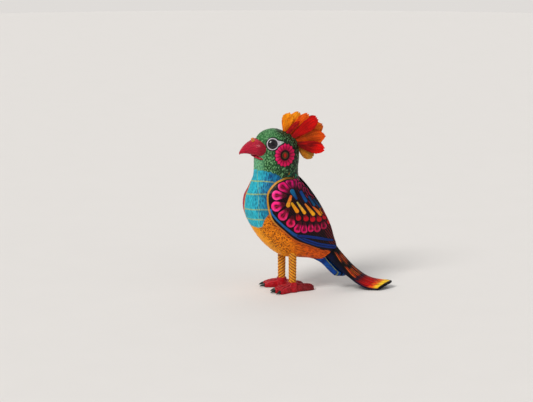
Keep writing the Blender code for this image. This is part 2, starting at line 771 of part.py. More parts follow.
def make_claw(name, ankle, heading, length, figure):
    """A hooked claw on the end of a toe."""
    bm = bmesh.new()
    rings = []
    across = Vector((-heading.y, heading.x, 0.0)) * CLAW_NARROWING
    angles = [2.0 * math.pi * k / CLAW_POINTS for k in range(CLAW_POINTS)]
    offsets = [across * math.cos(a) + Vector((0.0, 0.0, math.sin(a))) for a in angles]
    for k in range(CLAW_STEPS):
        f = k / CLAW_STEPS
        radius = CLAW_RADIUS * (1.0 - f) ** 0.7
        centre = ankle + heading * (length + GAP + CLAW_LENGTH * f)
        centre.z = CLAW_HEIGHT - CLAW_HOOK * f * f
        rings.append([bm.verts.new(centre + o * radius) for o in offsets])
    bridge_rings(bm, rings)
    bm.faces.new(rings[0])
    tip = ankle + heading * (length + GAP + CLAW_LENGTH)
    tip.z = CLAW_TIP_HEIGHT
    close_to_point(bm, rings[-1], tip)
    new_object(name, bm, "claw_black", figure)


def make_foot(side, socket, figure):
    ankle = leg_place(side)
    bm = bmesh.new()
    bottom = ankle - Vector((0.0, 0.0, ANKLE_BELOW))
    top = ankle + Vector((0.0, 0.0, ANKLE_HEIGHT))
    cylinder(bm, bottom, top, ANKLE_RADIUS + ANKLE_FLARE, ANKLE_RADIUS, 20)
    foot = new_object(side_name(side, "foot"), bm, "red", figure)
    toes = (
        ("inner", TOE_OUT - SIDE_TOE_ANGLE, SIDE_TOE),
        ("middle", TOE_OUT, MIDDLE_TOE),
        ("outer", TOE_OUT + SIDE_TOE_ANGLE, SIDE_TOE),
    )
    for (which, degrees, length), below in zip(toes, TOES_BELOW):
        name = side_name(side, f"{which}_toe")
        toe, heading = make_toe(name, ankle, side * degrees, length, below, CLAWED_TOE, figure)
        boolean(foot, "UNION", toe)
        make_claw(side_name(side, f"{which}_claw"), ankle, heading, length, figure)
    name = side_name(side, "back_toe")
    degrees = 180.0 + side * TOE_OUT
    back, _ = make_toe(name, ankle, degrees, BACK_TOE, BACK_TOE_BELOW, ROUND_TOE, figure)
    boolean(foot, "UNION", back)
    bm = bmesh.new()
    under = Matrix.Translation(ankle - Vector((0.0, 0.0, SAW_DEPTH / 2.0)))
    size = Matrix.Diagonal((SAW_WIDTH, SAW_WIDTH, SAW_DEPTH, 1.0))
    bmesh.ops.create_cube(bm, size=1.0, matrix=under @ size)
    name = side_name(side, "foot_sole_cut")
    floor = as_cutter(new_object(name, bm, "bare_wood", figure))
    boolean(foot, "DIFFERENCE", floor, socket)


# --- assembly -----------------------------------------------------------------------------------


def main():
    for existing in list(bpy.data.objects):
        bpy.data.objects.remove(existing)
    figure = bpy.data.objects.new("figure", None)
    bpy.context.scene.collection.objects.link(figure)
    figure.location.y = FLOOR_TO_FRAME_Y * MM
    body = make_body(figure)
    gauge = make_body_gauge(figure)
    beak = make_beak(body, gauge, figure)
    for side in (1, -1):
        eye = on_side(side, EYE_CENTRE)
        eye_facing = on_side(side, EYE_FACING)
        name = side_name(side, "eye")
        bead(name, eye, eye_facing, EYE_RADIUS, EYE_DOME, "eye_black", body, figure)
        nostril = on_side(side, NOSTRIL_CENTRE)
        facing = on_side(side, NOSTRIL_FACING)
        name = side_name(side, "nostril")
        bead(name, nostril, facing, NOSTRIL_RADIUS, NOSTRIL_DOME, "yellow", beak, figure)
        make_wing(side, body, gauge, figure)
        socket = make_leg(side, body, gauge, figure)
        make_foot(side, socket, figure)
    make_tails(body, gauge, figure)
    make_crest(body, figure)


main()
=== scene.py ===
"""Looks of a carved and painted wooden parrot: finely carved pieces, paint and varnish.

Lengths are in millimetres, about the point on the floor between the feet, with the parrot facing -Y
and its left side at +X, until to_frame() turns them into the frame's metres.
"""

import math

import bpy
import numpy as np
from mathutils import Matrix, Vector
from mathutils.bvhtree import BVHTree
from mathutils.kdtree import KDTree


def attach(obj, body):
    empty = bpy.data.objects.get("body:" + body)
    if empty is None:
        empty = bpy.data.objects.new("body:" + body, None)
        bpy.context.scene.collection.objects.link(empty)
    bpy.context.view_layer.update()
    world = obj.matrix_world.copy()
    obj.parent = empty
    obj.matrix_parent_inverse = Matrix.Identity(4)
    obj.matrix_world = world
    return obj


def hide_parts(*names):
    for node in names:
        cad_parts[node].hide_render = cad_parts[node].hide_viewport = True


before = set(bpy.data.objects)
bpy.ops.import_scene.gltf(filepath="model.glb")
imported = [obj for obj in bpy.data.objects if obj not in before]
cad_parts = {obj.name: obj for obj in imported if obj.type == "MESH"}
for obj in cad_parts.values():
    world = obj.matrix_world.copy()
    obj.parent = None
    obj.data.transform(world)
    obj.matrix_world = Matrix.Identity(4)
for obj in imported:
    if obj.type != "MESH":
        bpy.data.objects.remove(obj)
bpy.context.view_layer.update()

MM = 0.001
FLOOR_TO_FRAME_Y = -40.3  # from the point between the feet to the frame's own middle
GAP = 0.3  # round a peg in its socket, and between the body and what lies against it
VARNISH_DEPTH = 1.18  # the power that turns a colour into its varnished one

# --- shape ------------------------------------------------------------------------------------------
# These are the sizes and places of the frame's own solids. Comments say where the looks differ.

# Body sections from the tail end to the crown: (y, z) in front, (y, z) behind, half width, and how far
# the front narrows.
BODY_STATIONS = (
    ((43.6, 41.0), (67.0, 60.6), 12.1, 0.0),
    ((30.4, 44.6), (61.5, 71.5), 18.1, 0.0),
    ((14.2, 46.2), (54.0, 84.0), 23.7, 0.0),
    ((-5.1, 48.0), (46.5, 96.5), 28.4, 0.0),
    ((-22.2, 57.3), (39.8, 108.5), 31.6, 0.0),
    ((-38.4, 72.9), (32.8, 122.2), 33.5, 0.0),
    ((-52.4, 94.4), (25.7, 135.2), 33.0, 0.0),
    ((-60.4, 114.8), (19.6, 147.4), 30.7, 0.0),
    ((-60.3, 132.0), (16.1, 157.6), 27.4, 0.0),
    ((-53.2, 147.1), (14.9, 165.7), 25.1, 0.04),
    ((-47.7, 159.2), (15.1, 173.7), 24.0, 0.08),
    ((-46.1, 170.8), (15.9, 181.8), 24.2, 0.14),
    ((-46.1, 182.3), (16.4, 190.3), 24.9, 0.22),
    ((-45.5, 193.4), (15.6, 199.4), 25.3, 0.32),
    ((-44.5, 204.5), (12.5, 207.4), 24.4, 0.34),
    ((-42.6, 214.0), (7.3, 214.5), 21.4, 0.26),
    ((-36.8, 221.0), (-0.5, 220.7), 15.3, 0.1),
    ((-29.0, 224.9), (-10.0, 224.6), 8.4, 0.0),
)
BODY_CROWN = (-19.0, 226.4)
NECK_STATION = 8.0  # from here up the rings lie closer together
BODY_COLUMNS = 300
BODY_ROWS = (150, 154, 12)  # below the neck, above it, and over the crown
# The gauge is a coarser body, a gap larger all round, that beak and tails are cut back with.
GAUGE_ROWS = (60, 60, 6)
GAUGE_COLUMNS = 96

UPPER_BEAK_STATIONS = (
    ((-30.0, 189.3), (-30.0, 212.5), 19.5),
    ((-37.0, 189.8), (-37.0, 213.5), 19.0),
    ((-42.0, 190.3), (-43.0, 213.0), 17.5),
    ((-48.5, 191.3), (-49.5, 210.8), 14.0),
    ((-55.0, 192.6), (-56.5, 206.2), 10.0),
    ((-60.5, 192.6), (-62.0, 200.6), 6.3),
    ((-64.6, 191.8), (-65.6, 195.2), 3.2),
)
UPPER_BEAK_TIP = (-66.4, 191.2)
LOWER_BEAK_STATIONS = (
    ((-29.0, 182.6), (-29.0, 188.7), 21.5),
    ((-35.0, 183.2), (-35.0, 189.2), 20.5),
    ((-41.0, 184.8), (-41.0, 189.7), 17.5),
    ((-46.0, 187.6), (-46.2, 190.3), 11.5),
)
LOWER_BEAK_TIP = (-50.5, 190.6)
BEAK_WIDTHS = (1.03, 0.87)  # of the upper and lower halves, against their solids
BEAK_ROWS = 90
BEAK_COLUMNS = 110
BEAK_TIP_ROWS = 8
MOUTH_SQUARENESS = 0.3  # below 1, a beak half is broader than its solid where it meets the other

WING_EDGE = (
    (-30.1, 129.5),
    (-28.7, 143.5),
    (-19.2, 155.2),
    (-10.4, 159.9),
    (-0.9, 162.4),
    (13.1, 159.2),
    (26.1, 147.0),
    (39.2, 129.6),
    (50.4, 112.1),
    (58.7, 94.5),
    (64.0, 76.9),
    (67.2, 67.5),
    (69.2, 58.3),
    (58.0, 57.6),
    (43.7, 60.3),
    (26.2, 67.3),
    (7.9, 75.3),
    (-9.2, 90.0),
    (-20.2, 100.3),
    (-26.2, 110.4),
)
WING_TIP_INDEX = 12
WING_EDGE_SAMPLES = 1600  # to find how far a point is from the edge
WING_BEARINGS = 720  # to find how far the edge is from the root
WING_ROOT = (0.0, 126.0)
# The face stands WING_CROWN out at WING_CREST, which is that far along and across the wing from its
# root. It falls away from there with the square of the distance.
WING_CROWN = 39.5
WING_CREST = (10.0, -15.0)
WING_FALL_ALONG = 0.0034
WING_FALL_ACROSS = 0.005
WING_THICKNESS = 7.5
WING_EDGE_THINNING = 0.3  # the share of its thickness that a wing loses from its root to its edge
WING_RIM = 2.2  # how far the face falls away over its last part
WING_RIM_START = 0.7  # where that part starts, as a share of the way from the root
WING_CLEARANCE = GAP + 0.1
WING_COLUMNS = 460
WING_RINGS = 150
WING_EDGE_ROWS = 7
WING_EDGE_BULGE = 0.7
WING_INNER_RINGS = 26
WING_THINNEST = 1.2
WING_PEGS = ((-11.0, 128.0), (18.0, 100.0))
WING_PEG_RADIUS = 2.5
WING_PEG_DEPTH = 13.0
WING_PEG_IN_WING = 4.2
# How far the cutting tools stand out past the faces that they cut.
WING_SOCKET_REACH = 9.0
WING_HOLE_REACH = 6.0
TAIL_SOCKET_REACH = 8.0
TAIL_HOLE_REACH = 4.0
EYE_SEAT_REACH = 8.0
NOSTRIL_SEAT_REACH = 6.0

TAIL_RIDGE = (
    (57.0, 72.5),
    (66.0, 63.5),
    (75.0, 51.8),
    (87.3, 37.5),
    (96.0, 29.0),
    (104.7, 21.8),
    (113.0, 16.6),
    (122.1, 13.2),
    (134.0, 10.8),
    (147.0, 9.4),
)
# Each at the board's root, at its middle and at its tip. The drop is how far its sides hang down.
TAIL_HALF_WIDTH = (8.7, 17.5, 21.5)
TAIL_DROP = (6.0, 12.0, 3.6)
TAIL_THICKNESS = (15.0, 3.6, 2.6)
TAIL_GRADUATION = 0.15  # how much shorter the outermost feathers are, as a share of the board
# The under tail is thicker than its solid and lies about 4 mm higher, so that no gap shows above it.
UNDER_TAIL_RIDGE = ((44.0, 56.0), (52.3, 50.0), (61.0, 40.6), (71.2, 29.5), (83.5, 21.3))
UNDER_TAIL_HALF_WIDTH = (8.0, 12.0, 11.5)
UNDER_TAIL_DROP = (2.0, 4.5, 4.0)
UNDER_TAIL_THICKNESS = (12.0, 7.2, 4.0)
UNDER_TAIL_GRADUATION = 0.24
TAIL_END_NORMAL = (0.0, 0.642, -0.767)
# Each tail peg: middle, the way it pulls, radius, and how far it reaches each way.
TAIL_PEG = ((0.0, 59.1, 54.0), (0.0, 1.0, 0.0), 2.0, 8.5, 7.0)
UNDER_TAIL_PEG = ((0.0, 48.3, 44.9), TAIL_END_NORMAL, 2.0, 8.5, 8.5)
TAIL_LANES = 7  # feathers side by side
UNDER_TAIL_LANES = 5
TAIL_GRID = (200, 110)  # rows along a board and columns across it
TAIL_STREAKS = ((0.2, 0.35), (0.37, 0.64))  # from and to, as shares of the tail's length

CREST_MOUTH = ((-6.0, 222.2), (15.0, 201.2))
CREST_PLUG_DEPTH = 12.0
CREST_PLUG_WIDTH = 8.8
CREST_BLOCK_RISE = 14.0  # how far the slot's cutting tool stands out of the head
# Each feather: its place along the plug, its tip as (y, z), and its width, which is up to 5 mm more
# than its solid has, so that the fan is full.
ORANGE_FEATHERS = (
    (0.07, (2.8, 247.4), 16.0),
    (0.22, (15.8, 247.2), 16.0),
    (0.36, (27.2, 245.6), 14.0),
    (0.54, (47.6, 230.6), 20.0),
    (0.68, (51.6, 215.4), 21.0),
    (0.95, (34.6, 186.6), 17.0),
)
RED_FEATHERS = (
    (0.17, (15.4, 236.8), 7.5),
    (0.46, (40.0, 239.6), 17.0),
    (0.78, (49.0, 198.4), 17.0),
)
FEATHER_THICKNESS = 1.7
FEATHER_ROOT_WIDTH = 2.8
ORANGE_LAYER_X = 1.1  # the orange feathers stand by turns this far to each side of the middle
RED_LAYER_X = 3.3
RED_LAYER_SPLAY = 5.2  # how much further out a red feather's tip is than its root
FEATHER_IN_PLUG = 1.2
FEATHER_RUN = 0.992  # its last ring, as a share of the way to its tip
FEATHER_SHOULDER = 0.74  # from here to its tip a feather narrows
FEATHER_TEETH = 5.0  # points across its ragged tip
FEATHER_RAGGED = 2.4
FEATHER_ROWS = 120
FEATHER_COLUMNS = 88

EYE_CENTRE = (23.5, -21.9, 208.6)
EYE_FACING = (0.955, -0.12, 0.27)
EYE_RADIUS = 6.2
EYE_DOME = 2.3
NOSTRIL_CENTRE = (7.2, -47.2, 210.6)
NOSTRIL_FACING = (0.42, -0.3, 0.86)
NOSTRIL_RADIUS = 2.4
NOSTRIL_DOME = 1.7
NOSTRIL_HOLE = 1.0
NOSTRIL_HOLE_DEPTH = 1.5
BEAD_SEAT_DEPTH = 1.7
SEAT_CLEARANCE = 0.12

LEG_X = 16.0
LEG_STEP = 6.3  # the left leg stands this far behind the middle, and the right one in front of it
LEG_RADIUS = (5.3, 5.8)  # over the strands, at the ankle and at the belly
LEG_BOTTOM = 12.0
LEG_TOP = 60.0
STRANDS = 5
STRAND_HEIGHT = 4.2  # from one groove to the next, straight up the leg
STRAND_DEPTH = 0.8
LEG_ROWS = 220
LEG_COLUMNS = 110

TOE_OUT = 18.0  # how many degrees a foot turns out
# Each toe: its name, how many degrees it turns out from the middle one, and its length.
TOES = (("inner", -22.0, 24.0), ("middle", 0.0, 26.0), ("outer", 22.0, 24.0), ("back", 180.0, 32.0))
FOOT_VOXEL = 0.5
FOOT_SMOOTHING = 9
TOE_GROOVES = (-2.4, 0.0, 2.4)  # how far each carved line lies from its toe's middle
CLAW_RADIUS = 2.5
CLAW_LENGTH = 7.0
CLAW_HEIGHT = 3.4
CLAW_HOOK = 2.4  # how far a claw bends down
CLAW_TIP_HEIGHT = 0.9
CLAW_ROWS = 30
CLAW_COLUMNS = 32


# --- numbers and colours ----------------------------------------------------------------------------


def to_frame(points):
    """The points in the frame's metres."""
    placed = np.array(points, float).reshape(-1, 3)
    placed[:, 1] += FLOOR_TO_FRAME_Y
    return placed * MM


def colour(tint):
    """The linear colour of an sRGB one like "#40c0d0". A linear one comes back as it is."""
    if not isinstance(tint, str):
        return np.asarray(tint, float)
    parts = np.array([int(tint[k : k + 2], 16) for k in (1, 3, 5)]) / 255.0
    return np.where(parts <= 0.04045, parts / 12.92, ((parts + 0.055) / 1.055) ** 2.4)


def between(first, second, share):
    """A colour for each point, from the first colour to the second as its share goes from 0 to 1."""
    share = np.clip(share, 0.0, 1.0)[:, None]
    return colour(first) * (1.0 - share) + colour(second) * share


def towards(rgb, tint, share):
    """Each colour moved towards the tint by its share of the way."""
    return rgb + (colour(tint) - rgb) * share[:, None]


def smooth(low, high, value):
    """0 before low, 1 after high and a smooth change between. low may be the larger."""
    share = np.clip((value - low) / (high - low), 0.0, 1.0)
    return share * share * (3.0 - 2.0 * share)


def ripple(points, size, seed):
    """An uneven value from about -1 to 1, with waves about size long."""
    random = np.random.default_rng(seed)
    total = np.zeros(len(points))
    waves = 7
    for _ in range(waves):
        way = random.normal(size=points.shape[1])
        way *= 2.0 * math.pi / size * random.uniform(0.6, 1.6) / np.linalg.norm(way)
        total += np.sin(points @ way + random.uniform(0.0, 2.0 * math.pi))
    return total / math.sqrt(waves) / 1.4


def mottle(points, size, seed):
    """The ripple as a share, from about 0 to 1."""
    return 0.5 + 0.5 * ripple(points, size, seed)


def spline(values, t):
    """Points on the Catmull-Rom curve through values, at each t."""
    values = np.asarray(values, float)
    if values.ndim == 1:
        values = values[:, None]
    last = len(values) - 1
    i = np.clip(np.floor(t).astype(int), 0, last - 1)
    f = (np.asarray(t) - i)[:, None]
    before, here = values[np.clip(i - 1, 0, last)], values[i]
    after, beyond = values[i + 1], values[np.clip(i + 2, 0, last)]
    return (
        here * (1.0 - 2.5 * f**2 + 1.5 * f**3)
        + after * (0.5 * f + 2.0 * f**2 - 1.5 * f**3)
        + before * (-0.5 * f + f**2 - 0.5 * f**3)
        + beyond * (-0.5 * f**2 + 0.5 * f**3)
    )


def three_way(values, v):
    """A smooth change from the first value to the middle one, at v = 0.5, and on to the last."""
    first, middle, last = values
    f, g = np.clip(v / 0.5, 0.0, 1.0), np.clip((v - 0.5) / 0.5, 0.0, 1.0)
    early = first + (middle - first) * f * f * (3.0 - 2.0 * f)
    return np.where(v < 0.5, early, middle + (last - middle) * g * g)


def circle(columns):
    """The cosines and sines of evenly spaced angles round a circle."""
    angles = 2.0 * math.pi * np.arange(columns) / columns
    return np.cos(angles), np.sin(angles)


def unit(vector):
    vector = np.asarray(vector, float)
    return vector / np.linalg.norm(vector)


def mirrored(side, point):
    return np.array((side * point[0], point[1], point[2]), float)


def bead_place(side, centre, facing):
    """The middle of a bead on that side, and the way it faces."""
    return mirrored(side, centre), unit(mirrored(side, facing))


def side_name(side, what):
    return f"{'left' if side > 0 else 'right'}_{what}"


def stroke(points, start, end, start_radius, end_radius):
    """Each point's place on a tapered brush stroke: along it from 0 to 1, across it from -1 to 1, and
    how far outside its edge."""
    start, end = np.asarray(start, float), np.asarray(end, float)
    run = end - start
    length = np.linalg.norm(run)
    offset = points - start
    along = np.clip(offset @ run / length**2, 0.0, 1.0)
    radius = start_radius + (end_radius - start_radius) * along
    outside = np.linalg.norm(offset - along[:, None] * run, axis=1) - radius
    across = (offset[:, 0] * run[1] - offset[:, 1] * run[0]) / length / np.maximum(radius, 0.1)
    return along, across, outside


def line_distance(points, line):
    """How far each point is from a line through several places."""
    found = np.full(len(points), np.inf)
    for start, end in zip(line, line[1:]):
        found = np.minimum(found, stroke(points, start, end, 0.0, 0.0)[2])
    return found


def inside(distance, softness=0.4):
    """1 where the distance from an edge is below 0 and 0 where it is above, with a soft edge."""
    return smooth(softness, -softness, distance)


EVERYWHERE = slice(None)


class Paint:
    """What the brush leaves on a surface: colour, thickness, and the small flecks laid over it."""

    def __init__(self, points, base):
        self.points = points
        self.rgb = np.tile(colour(base), (len(points), 1))
        self.height = np.zeros(len(points))
        self.fleck = np.zeros((len(points), 4))
        self.fleck_place = points / 2.0

    def cover(self, tint):
        self.lay(np.ones(len(self.points)), tint)

    def lay(self, mask, tint, height=None):
        self.rgb = towards(self.rgb, tint, mask)
        if height is not None:
            self.height += (height - self.height) * mask

    def add_flecks(self, where, tint, amount, size):
        """Flecks of that size, as (x, y, z) or one number, at the points that where picks."""
        self.fleck[where, :3] = colour(tint)
        self.fleck[where, 3] = np.broadcast_to(amount, len(self.points))[where]
        self.fleck_place[where] = self.points[where] / size


# --- materials --------------------------------------------------------------------------------------


FLECK_EDGE = 0.5  # how far from its middle a fleck's colour starts
FLECK_CORE = 0.3  # and where it is full
SHARP_ANGLE = 48.0  # edges that turn by more degrees than this stay crisp


def feed(tree, socket, value):
    """Gives a shader's socket a value, or the socket that feeds it."""
    if isinstance(value, bpy.types.NodeSocket):
        tree.links.new(value, socket)
    else:
        socket.default_value = value


def add_node(tree, kind, settings=None, **inputs):
    """A shader node, with inputs given by name: a value, or the socket that feeds it."""
    made = tree.nodes.new(kind)
    for key, value in (settings or {}).items():
        setattr(made, key, value)
    for key, value in inputs.items():
        feed(tree, made.inputs[key.replace("_", " ")], value)
    return made


def mix(tree, factor, first, second, blend="MIX"):
    made = tree.nodes.new("ShaderNodeMix")
    made.data_type = "RGBA"
    made.blend_type = blend
    for number, value in ((0, factor), (6, first), (7, second)):
        feed(tree, made.inputs[number], value)
    return made.outputs[2]


def maths(tree, operation, first, second):
    made = tree.nodes.new("ShaderNodeMath")
    made.operation = operation
    feed(tree, made.inputs[0], first)
    feed(tree, made.inputs[1], second)
    return made.outputs[0]


def ranged(tree, value, low, high, to_low, to_high):
    made = add_node(tree, "ShaderNodeMapRange", {"interpolation_type": "SMOOTHSTEP"}, Value=value)
    for name, number in zip(("From Min", "From Max", "To Min", "To Max"), (low, high, to_low, to_high)):
        made.inputs[name].default_value = number
    return made.outputs["Result"]


def noise(tree, place, size, stretch=(1.0, 1.0, 1.0), detail=4.0, roughness=0.55):
    """Noise whose lumps are about size millimetres, times stretch along each axis."""
    scale = tuple(1.0 / (size * MM * s) for s in stretch)
    scaled = add_node(tree, "ShaderNodeMapping", Vector=place, Scale=scale)
    made = add_node(
        tree,
        "ShaderNodeTexNoise",
        Vector=scaled.outputs["Vector"],
        Scale=1.0,
        Detail=detail,
        Roughness=roughness,
    )
    return made.outputs["Fac"]


def start_material(name, roughness, coat, coat_roughness, specular):
    made = bpy.data.materials.new(name)
    made.use_nodes = True
    shader = made.node_tree.nodes["Principled BSDF"]
    shader.inputs["Roughness"].default_value = roughness
    shader.inputs["Coat Weight"].default_value = coat
    shader.inputs["Coat Roughness"].default_value = coat_roughness
    shader.inputs["Specular IOR Level"].default_value = specular
    place = made.node_tree.nodes.new("ShaderNodeTexCoord").outputs["Object"]
    return made, made.node_tree, shader, place


def finish_surface(tree, shader, base, rough, height, depth):
    tree.links.new(base, shader.inputs["Base Color"])
    tree.links.new(rough, shader.inputs["Roughness"])
    bump = add_node(tree, "ShaderNodeBump", Strength=0.6, Distance=depth * MM, Height=height)
    tree.links.new(bump.outputs["Normal"], shader.inputs["Normal"])


def painted(name, roughness, coat, brush=(1.0, 1.0, 4.0), tint=None):
    """Brushed paint under varnish. Its colour and its flecks are laid on the mesh, unless a tint is
    given."""
    made, tree, shader, place = start_material(name, roughness, coat, 0.25, 0.1)
    if tint is None:
        base = add_node(tree, "ShaderNodeAttribute", {"attribute_name": "paint"}).outputs["Color"]
    else:
        base = add_node(tree, "ShaderNodeRGB").outputs["Color"]
        base.default_value = (*colour(tint), 1.0)
    bristles = noise(tree, place, 0.9, brush)
    blotches = noise(tree, place, 11.0, detail=3.0)
    # uneven wear in the paint's tone
    wear_and_painted_light = noise(tree, place, 3.2, detail=5.0, roughness=0.7)
    shade = maths(tree, "MULTIPLY", ranged(tree, bristles, 0.3, 0.7, 0.84, 1.12),
                  ranged(tree, blotches, 0.3, 0.7, 0.88, 1.1))
    shade = maths(tree, "MULTIPLY", shade, ranged(tree, wear_and_painted_light, 0.25, 0.75, 0.92, 1.07))
    base = mix(tree, 1.0, base, shade, "MULTIPLY")
    height = maths(tree, "MULTIPLY", bristles, 0.7)
    if tint is None:
        fleck = add_node(tree, "ShaderNodeAttribute", {"attribute_name": "fleck"})
        place = add_node(tree, "ShaderNodeAttribute", {"attribute_name": "fleck_place"})
        grain = place.outputs["Vector"]
        amount = fleck.outputs["Alpha"]
        light = fleck_mask(tree, grain, amount)
        moved = add_node(tree, "ShaderNodeMapping", Vector=grain, Location=(37.3, 11.9, 5.7))
        dark = fleck_mask(tree, moved.outputs["Vector"], amount)
        darker = mix(tree, 1.0, base, (0.14, 0.14, 0.17, 1.0), "MULTIPLY")
        base = mix(tree, dark, base, darker)
        base = mix(tree, light, base, fleck.outputs["Color"])
        height = maths(tree, "ADD", height, maths(tree, "MULTIPLY", light, 0.8))
    rough = ranged(tree, bristles, 0.25, 0.75, roughness - 0.07, roughness + 0.12)
    finish_surface(tree, shader, base, rough, height, 0.16)
    return made


def fleck_mask(tree, grain, amount):
    """How much of its colour each fleck shows: all of its amount in the middle, and less in some."""
    cells = add_node(tree, "ShaderNodeTexVoronoi", Vector=grain, Scale=1.0, Randomness=0.9)
    chosen = add_node(tree, "ShaderNodeSeparateColor", Color=cells.outputs["Color"]).outputs["Red"]
    mask = ranged(tree, cells.outputs["Distance"], FLECK_EDGE, FLECK_CORE, 0.0, 1.0)
    mask = maths(tree, "MULTIPLY", mask, ranged(tree, chosen, 0.1, 0.6, 0.25, 1.0))
    return maths(tree, "MULTIPLY", mask, amount)


def raw_wood():
    """Pale unpainted copal wood, with fine grain running up the figure."""
    made, tree, shader, place = start_material("raw_copal_wood", 0.7, 0.0, 0.3, 0.3)
    fibres = noise(tree, place, 0.8, (1.0, 1.0, 14.0), detail=6.0)
    rings = noise(tree, place, 5.0, (1.0, 1.0, 9.0), detail=2.0)
    ringed = ranged(tree, rings, 0.35, 0.65, 0.0, 1.0)
    base = mix(tree, ringed, (0.66, 0.46, 0.27, 1.0), (0.5, 0.31, 0.16, 1.0))
    base = mix(tree, ranged(tree, fibres, 0.45, 0.75, 0.0, 0.45), base, (0.3, 0.17, 0.08, 1.0))
    finish_surface(tree, shader, base, ranged(tree, fibres, 0.3, 0.7, 0.62, 0.82), fibres, 0.15)
    return made


def glossy_black():
    """Thick black enamel for the eyes."""
    made, tree, shader, place = start_material("eye_enamel", 0.1, 0.1, 0.04, 0.3)
    cloud = noise(tree, place, 2.4, detail=4.0)
    uneven = ranged(tree, cloud, 0.35, 0.7, 0.0, 1.0)
    base = mix(tree, uneven, (0.004, 0.003, 0.005, 1.0), (0.02, 0.012, 0.016, 1.0))
    finish_surface(tree, shader, base, ranged(tree, cloud, 0.3, 0.7, 0.06, 0.12), cloud, 0.01)
    return made


# --- meshes -----------------------------------------------------------------------------------------


def loft(rings, start=None, end=None):
    """Points and faces of closed rings joined in order, with a fan to the start and the end point."""
    rows, columns = rings.shape[:2]
    points = rings.reshape(-1, 3)
    row, column = np.meshgrid(np.arange(rows - 1), np.arange(columns), indexing="ij")
    here, right = row * columns + column, row * columns + (column + 1) % columns
    quads = np.stack((here, right, right + columns, here + columns), axis=-1).reshape(-1, 4)
    around = np.arange(columns)
    following = (around + 1) % columns
    tris = np.zeros((0, 3), int)
    for centre, first, second in ((start, following, around), (end, around, following)):
        if centre is not None:
            shift = 0 if centre is start else (rows - 1) * columns
            middle = np.full(columns, len(points))
            fan = np.stack((first + shift, second + shift, middle), axis=1)
            tris = np.concatenate((tris, fan))
            points = np.concatenate((points, np.reshape(centre, (1, 3))))
    return points, quads, tris


def build(name, points, quads, tris, material, paint=None):
    """An object from points in millimetres. Its faces are turned outwards."""
    first, second, third = (points[quads[:, k]] for k in range(3))
    if np.einsum("ij,ij->", first, np.cross(second, third)) < 0.0:
        quads, tris = quads[:, ::-1], tris[:, ::-1]
    corners = np.concatenate((quads.ravel(), tris.ravel()))
    sizes = np.concatenate((np.full(len(quads), 4), np.full(len(tris), 3)))
    mesh = bpy.data.meshes.new(name)
    mesh.vertices.add(len(points))
    mesh.vertices.foreach_set("co", to_frame(points).ravel())
    mesh.loops.add(len(corners))
    mesh.loops.foreach_set("vertex_index", corners)
    mesh.polygons.add(len(sizes))
    mesh.polygons.foreach_set("loop_start", np.concatenate(((0,), np.cumsum(sizes)[:-1])))
    mesh.update(calc_edges=True)
    mesh.validate()
    mesh.materials.append(material)
    if paint is not None:
        lay_on(mesh, paint, corners)
    return add_object(name, mesh)


def add_object(name, data):
    made = bpy.data.objects.new(name, data)
    bpy.context.scene.collection.objects.link(made)
    return made


def deepened(rgb):
    """The colour as varnish shows it, with its darker parts deeper."""
    return np.clip(rgb, 0.0, 1.0) ** VARNISH_DEPTH


def lay_on(mesh, paint, corners):
    """Stores the paint on the mesh's corners, so that a cut keeps it."""
    solid = np.ones((len(corners), 1))
    values = (
        ("paint", "FLOAT_COLOR", "color", np.hstack((deepened(paint.rgb[corners]), solid))),
        ("fleck", "FLOAT_COLOR", "color", paint.fleck[corners]),
        ("fleck_place", "FLOAT_VECTOR", "vector", paint.fleck_place[corners]),
    )
    for name, kind, field, numbers in values:
        mesh.attributes.new(name, kind, "CORNER").data.foreach_set(field, numbers.ravel())


def apply_modifiers(piece):
    """Puts the modifiers' result in the place of the piece's mesh."""
    depsgraph = bpy.context.evaluated_depsgraph_get()
    result = bpy.data.meshes.new_from_object(
        piece.evaluated_get(depsgraph), preserve_all_data_layers=True, depsgraph=depsgraph
    )
    piece.modifiers.clear()
    piece.data = result


def cut(piece, *cutters):
    """Cuts each tool out of the piece. The cut faces take the tool's material."""
    for cutter in cutters:
        modifier = piece.modifiers.new(cutter.name, "BOOLEAN")
        modifier.operation = "DIFFERENCE"
        modifier.solver = "EXACT"
        modifier.material_mode = "TRANSFER"
        modifier.object = cutter
    apply_modifiers(piece)
    for cutter in cutters:
        bpy.data.objects.remove(cutter)


def linked_copy(piece):
    copy = piece.copy()
    bpy.context.scene.collection.objects.link(copy)
    return copy


def ready(piece, body, node):
    """Smooths a finished piece, and puts it in the place of its CAD node."""
    piece.data.shade_smooth()
    piece.data.set_sharp_from_angle(angle=math.radians(SHARP_ANGLE))
    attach(piece, body)
    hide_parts(node)


def ring_normals(rings):
    """A row for each lofted point: outward normals of closed rings, and none for the two ends."""
    along = np.gradient(rings, axis=0)
    around = np.roll(rings, -1, axis=1) - np.roll(rings, 1, axis=1)
    normals = np.cross(along, around)
    normals /= np.maximum(np.linalg.norm(normals, axis=2, keepdims=True), 1e-9)
    outward = rings - rings.mean(axis=1, keepdims=True)
    if np.sum(normals * outward) < 0.0:
        normals = -normals
    return np.concatenate((normals.reshape(-1, 3), np.zeros((2, 3))))


def turned_profile(profile, centre, facing, columns):
    """Rings of a profile of (radius, height) turned about the line through centre along facing."""
    facing = unit(facing)
    across = unit(np.cross(facing, (0.0, 0.3, 1.0) if abs(facing[2]) < 0.9 else (0.0, 1.0, 0.0)))
    other = np.cross(facing, across)
    angles = np.linspace(0.0, 2.0 * math.pi, columns, endpoint=False)
    spokes = np.cos(angles)[:, None] * across + np.sin(angles)[:, None] * other
    return np.array([centre + spokes * radius + facing * height for radius, height in profile])


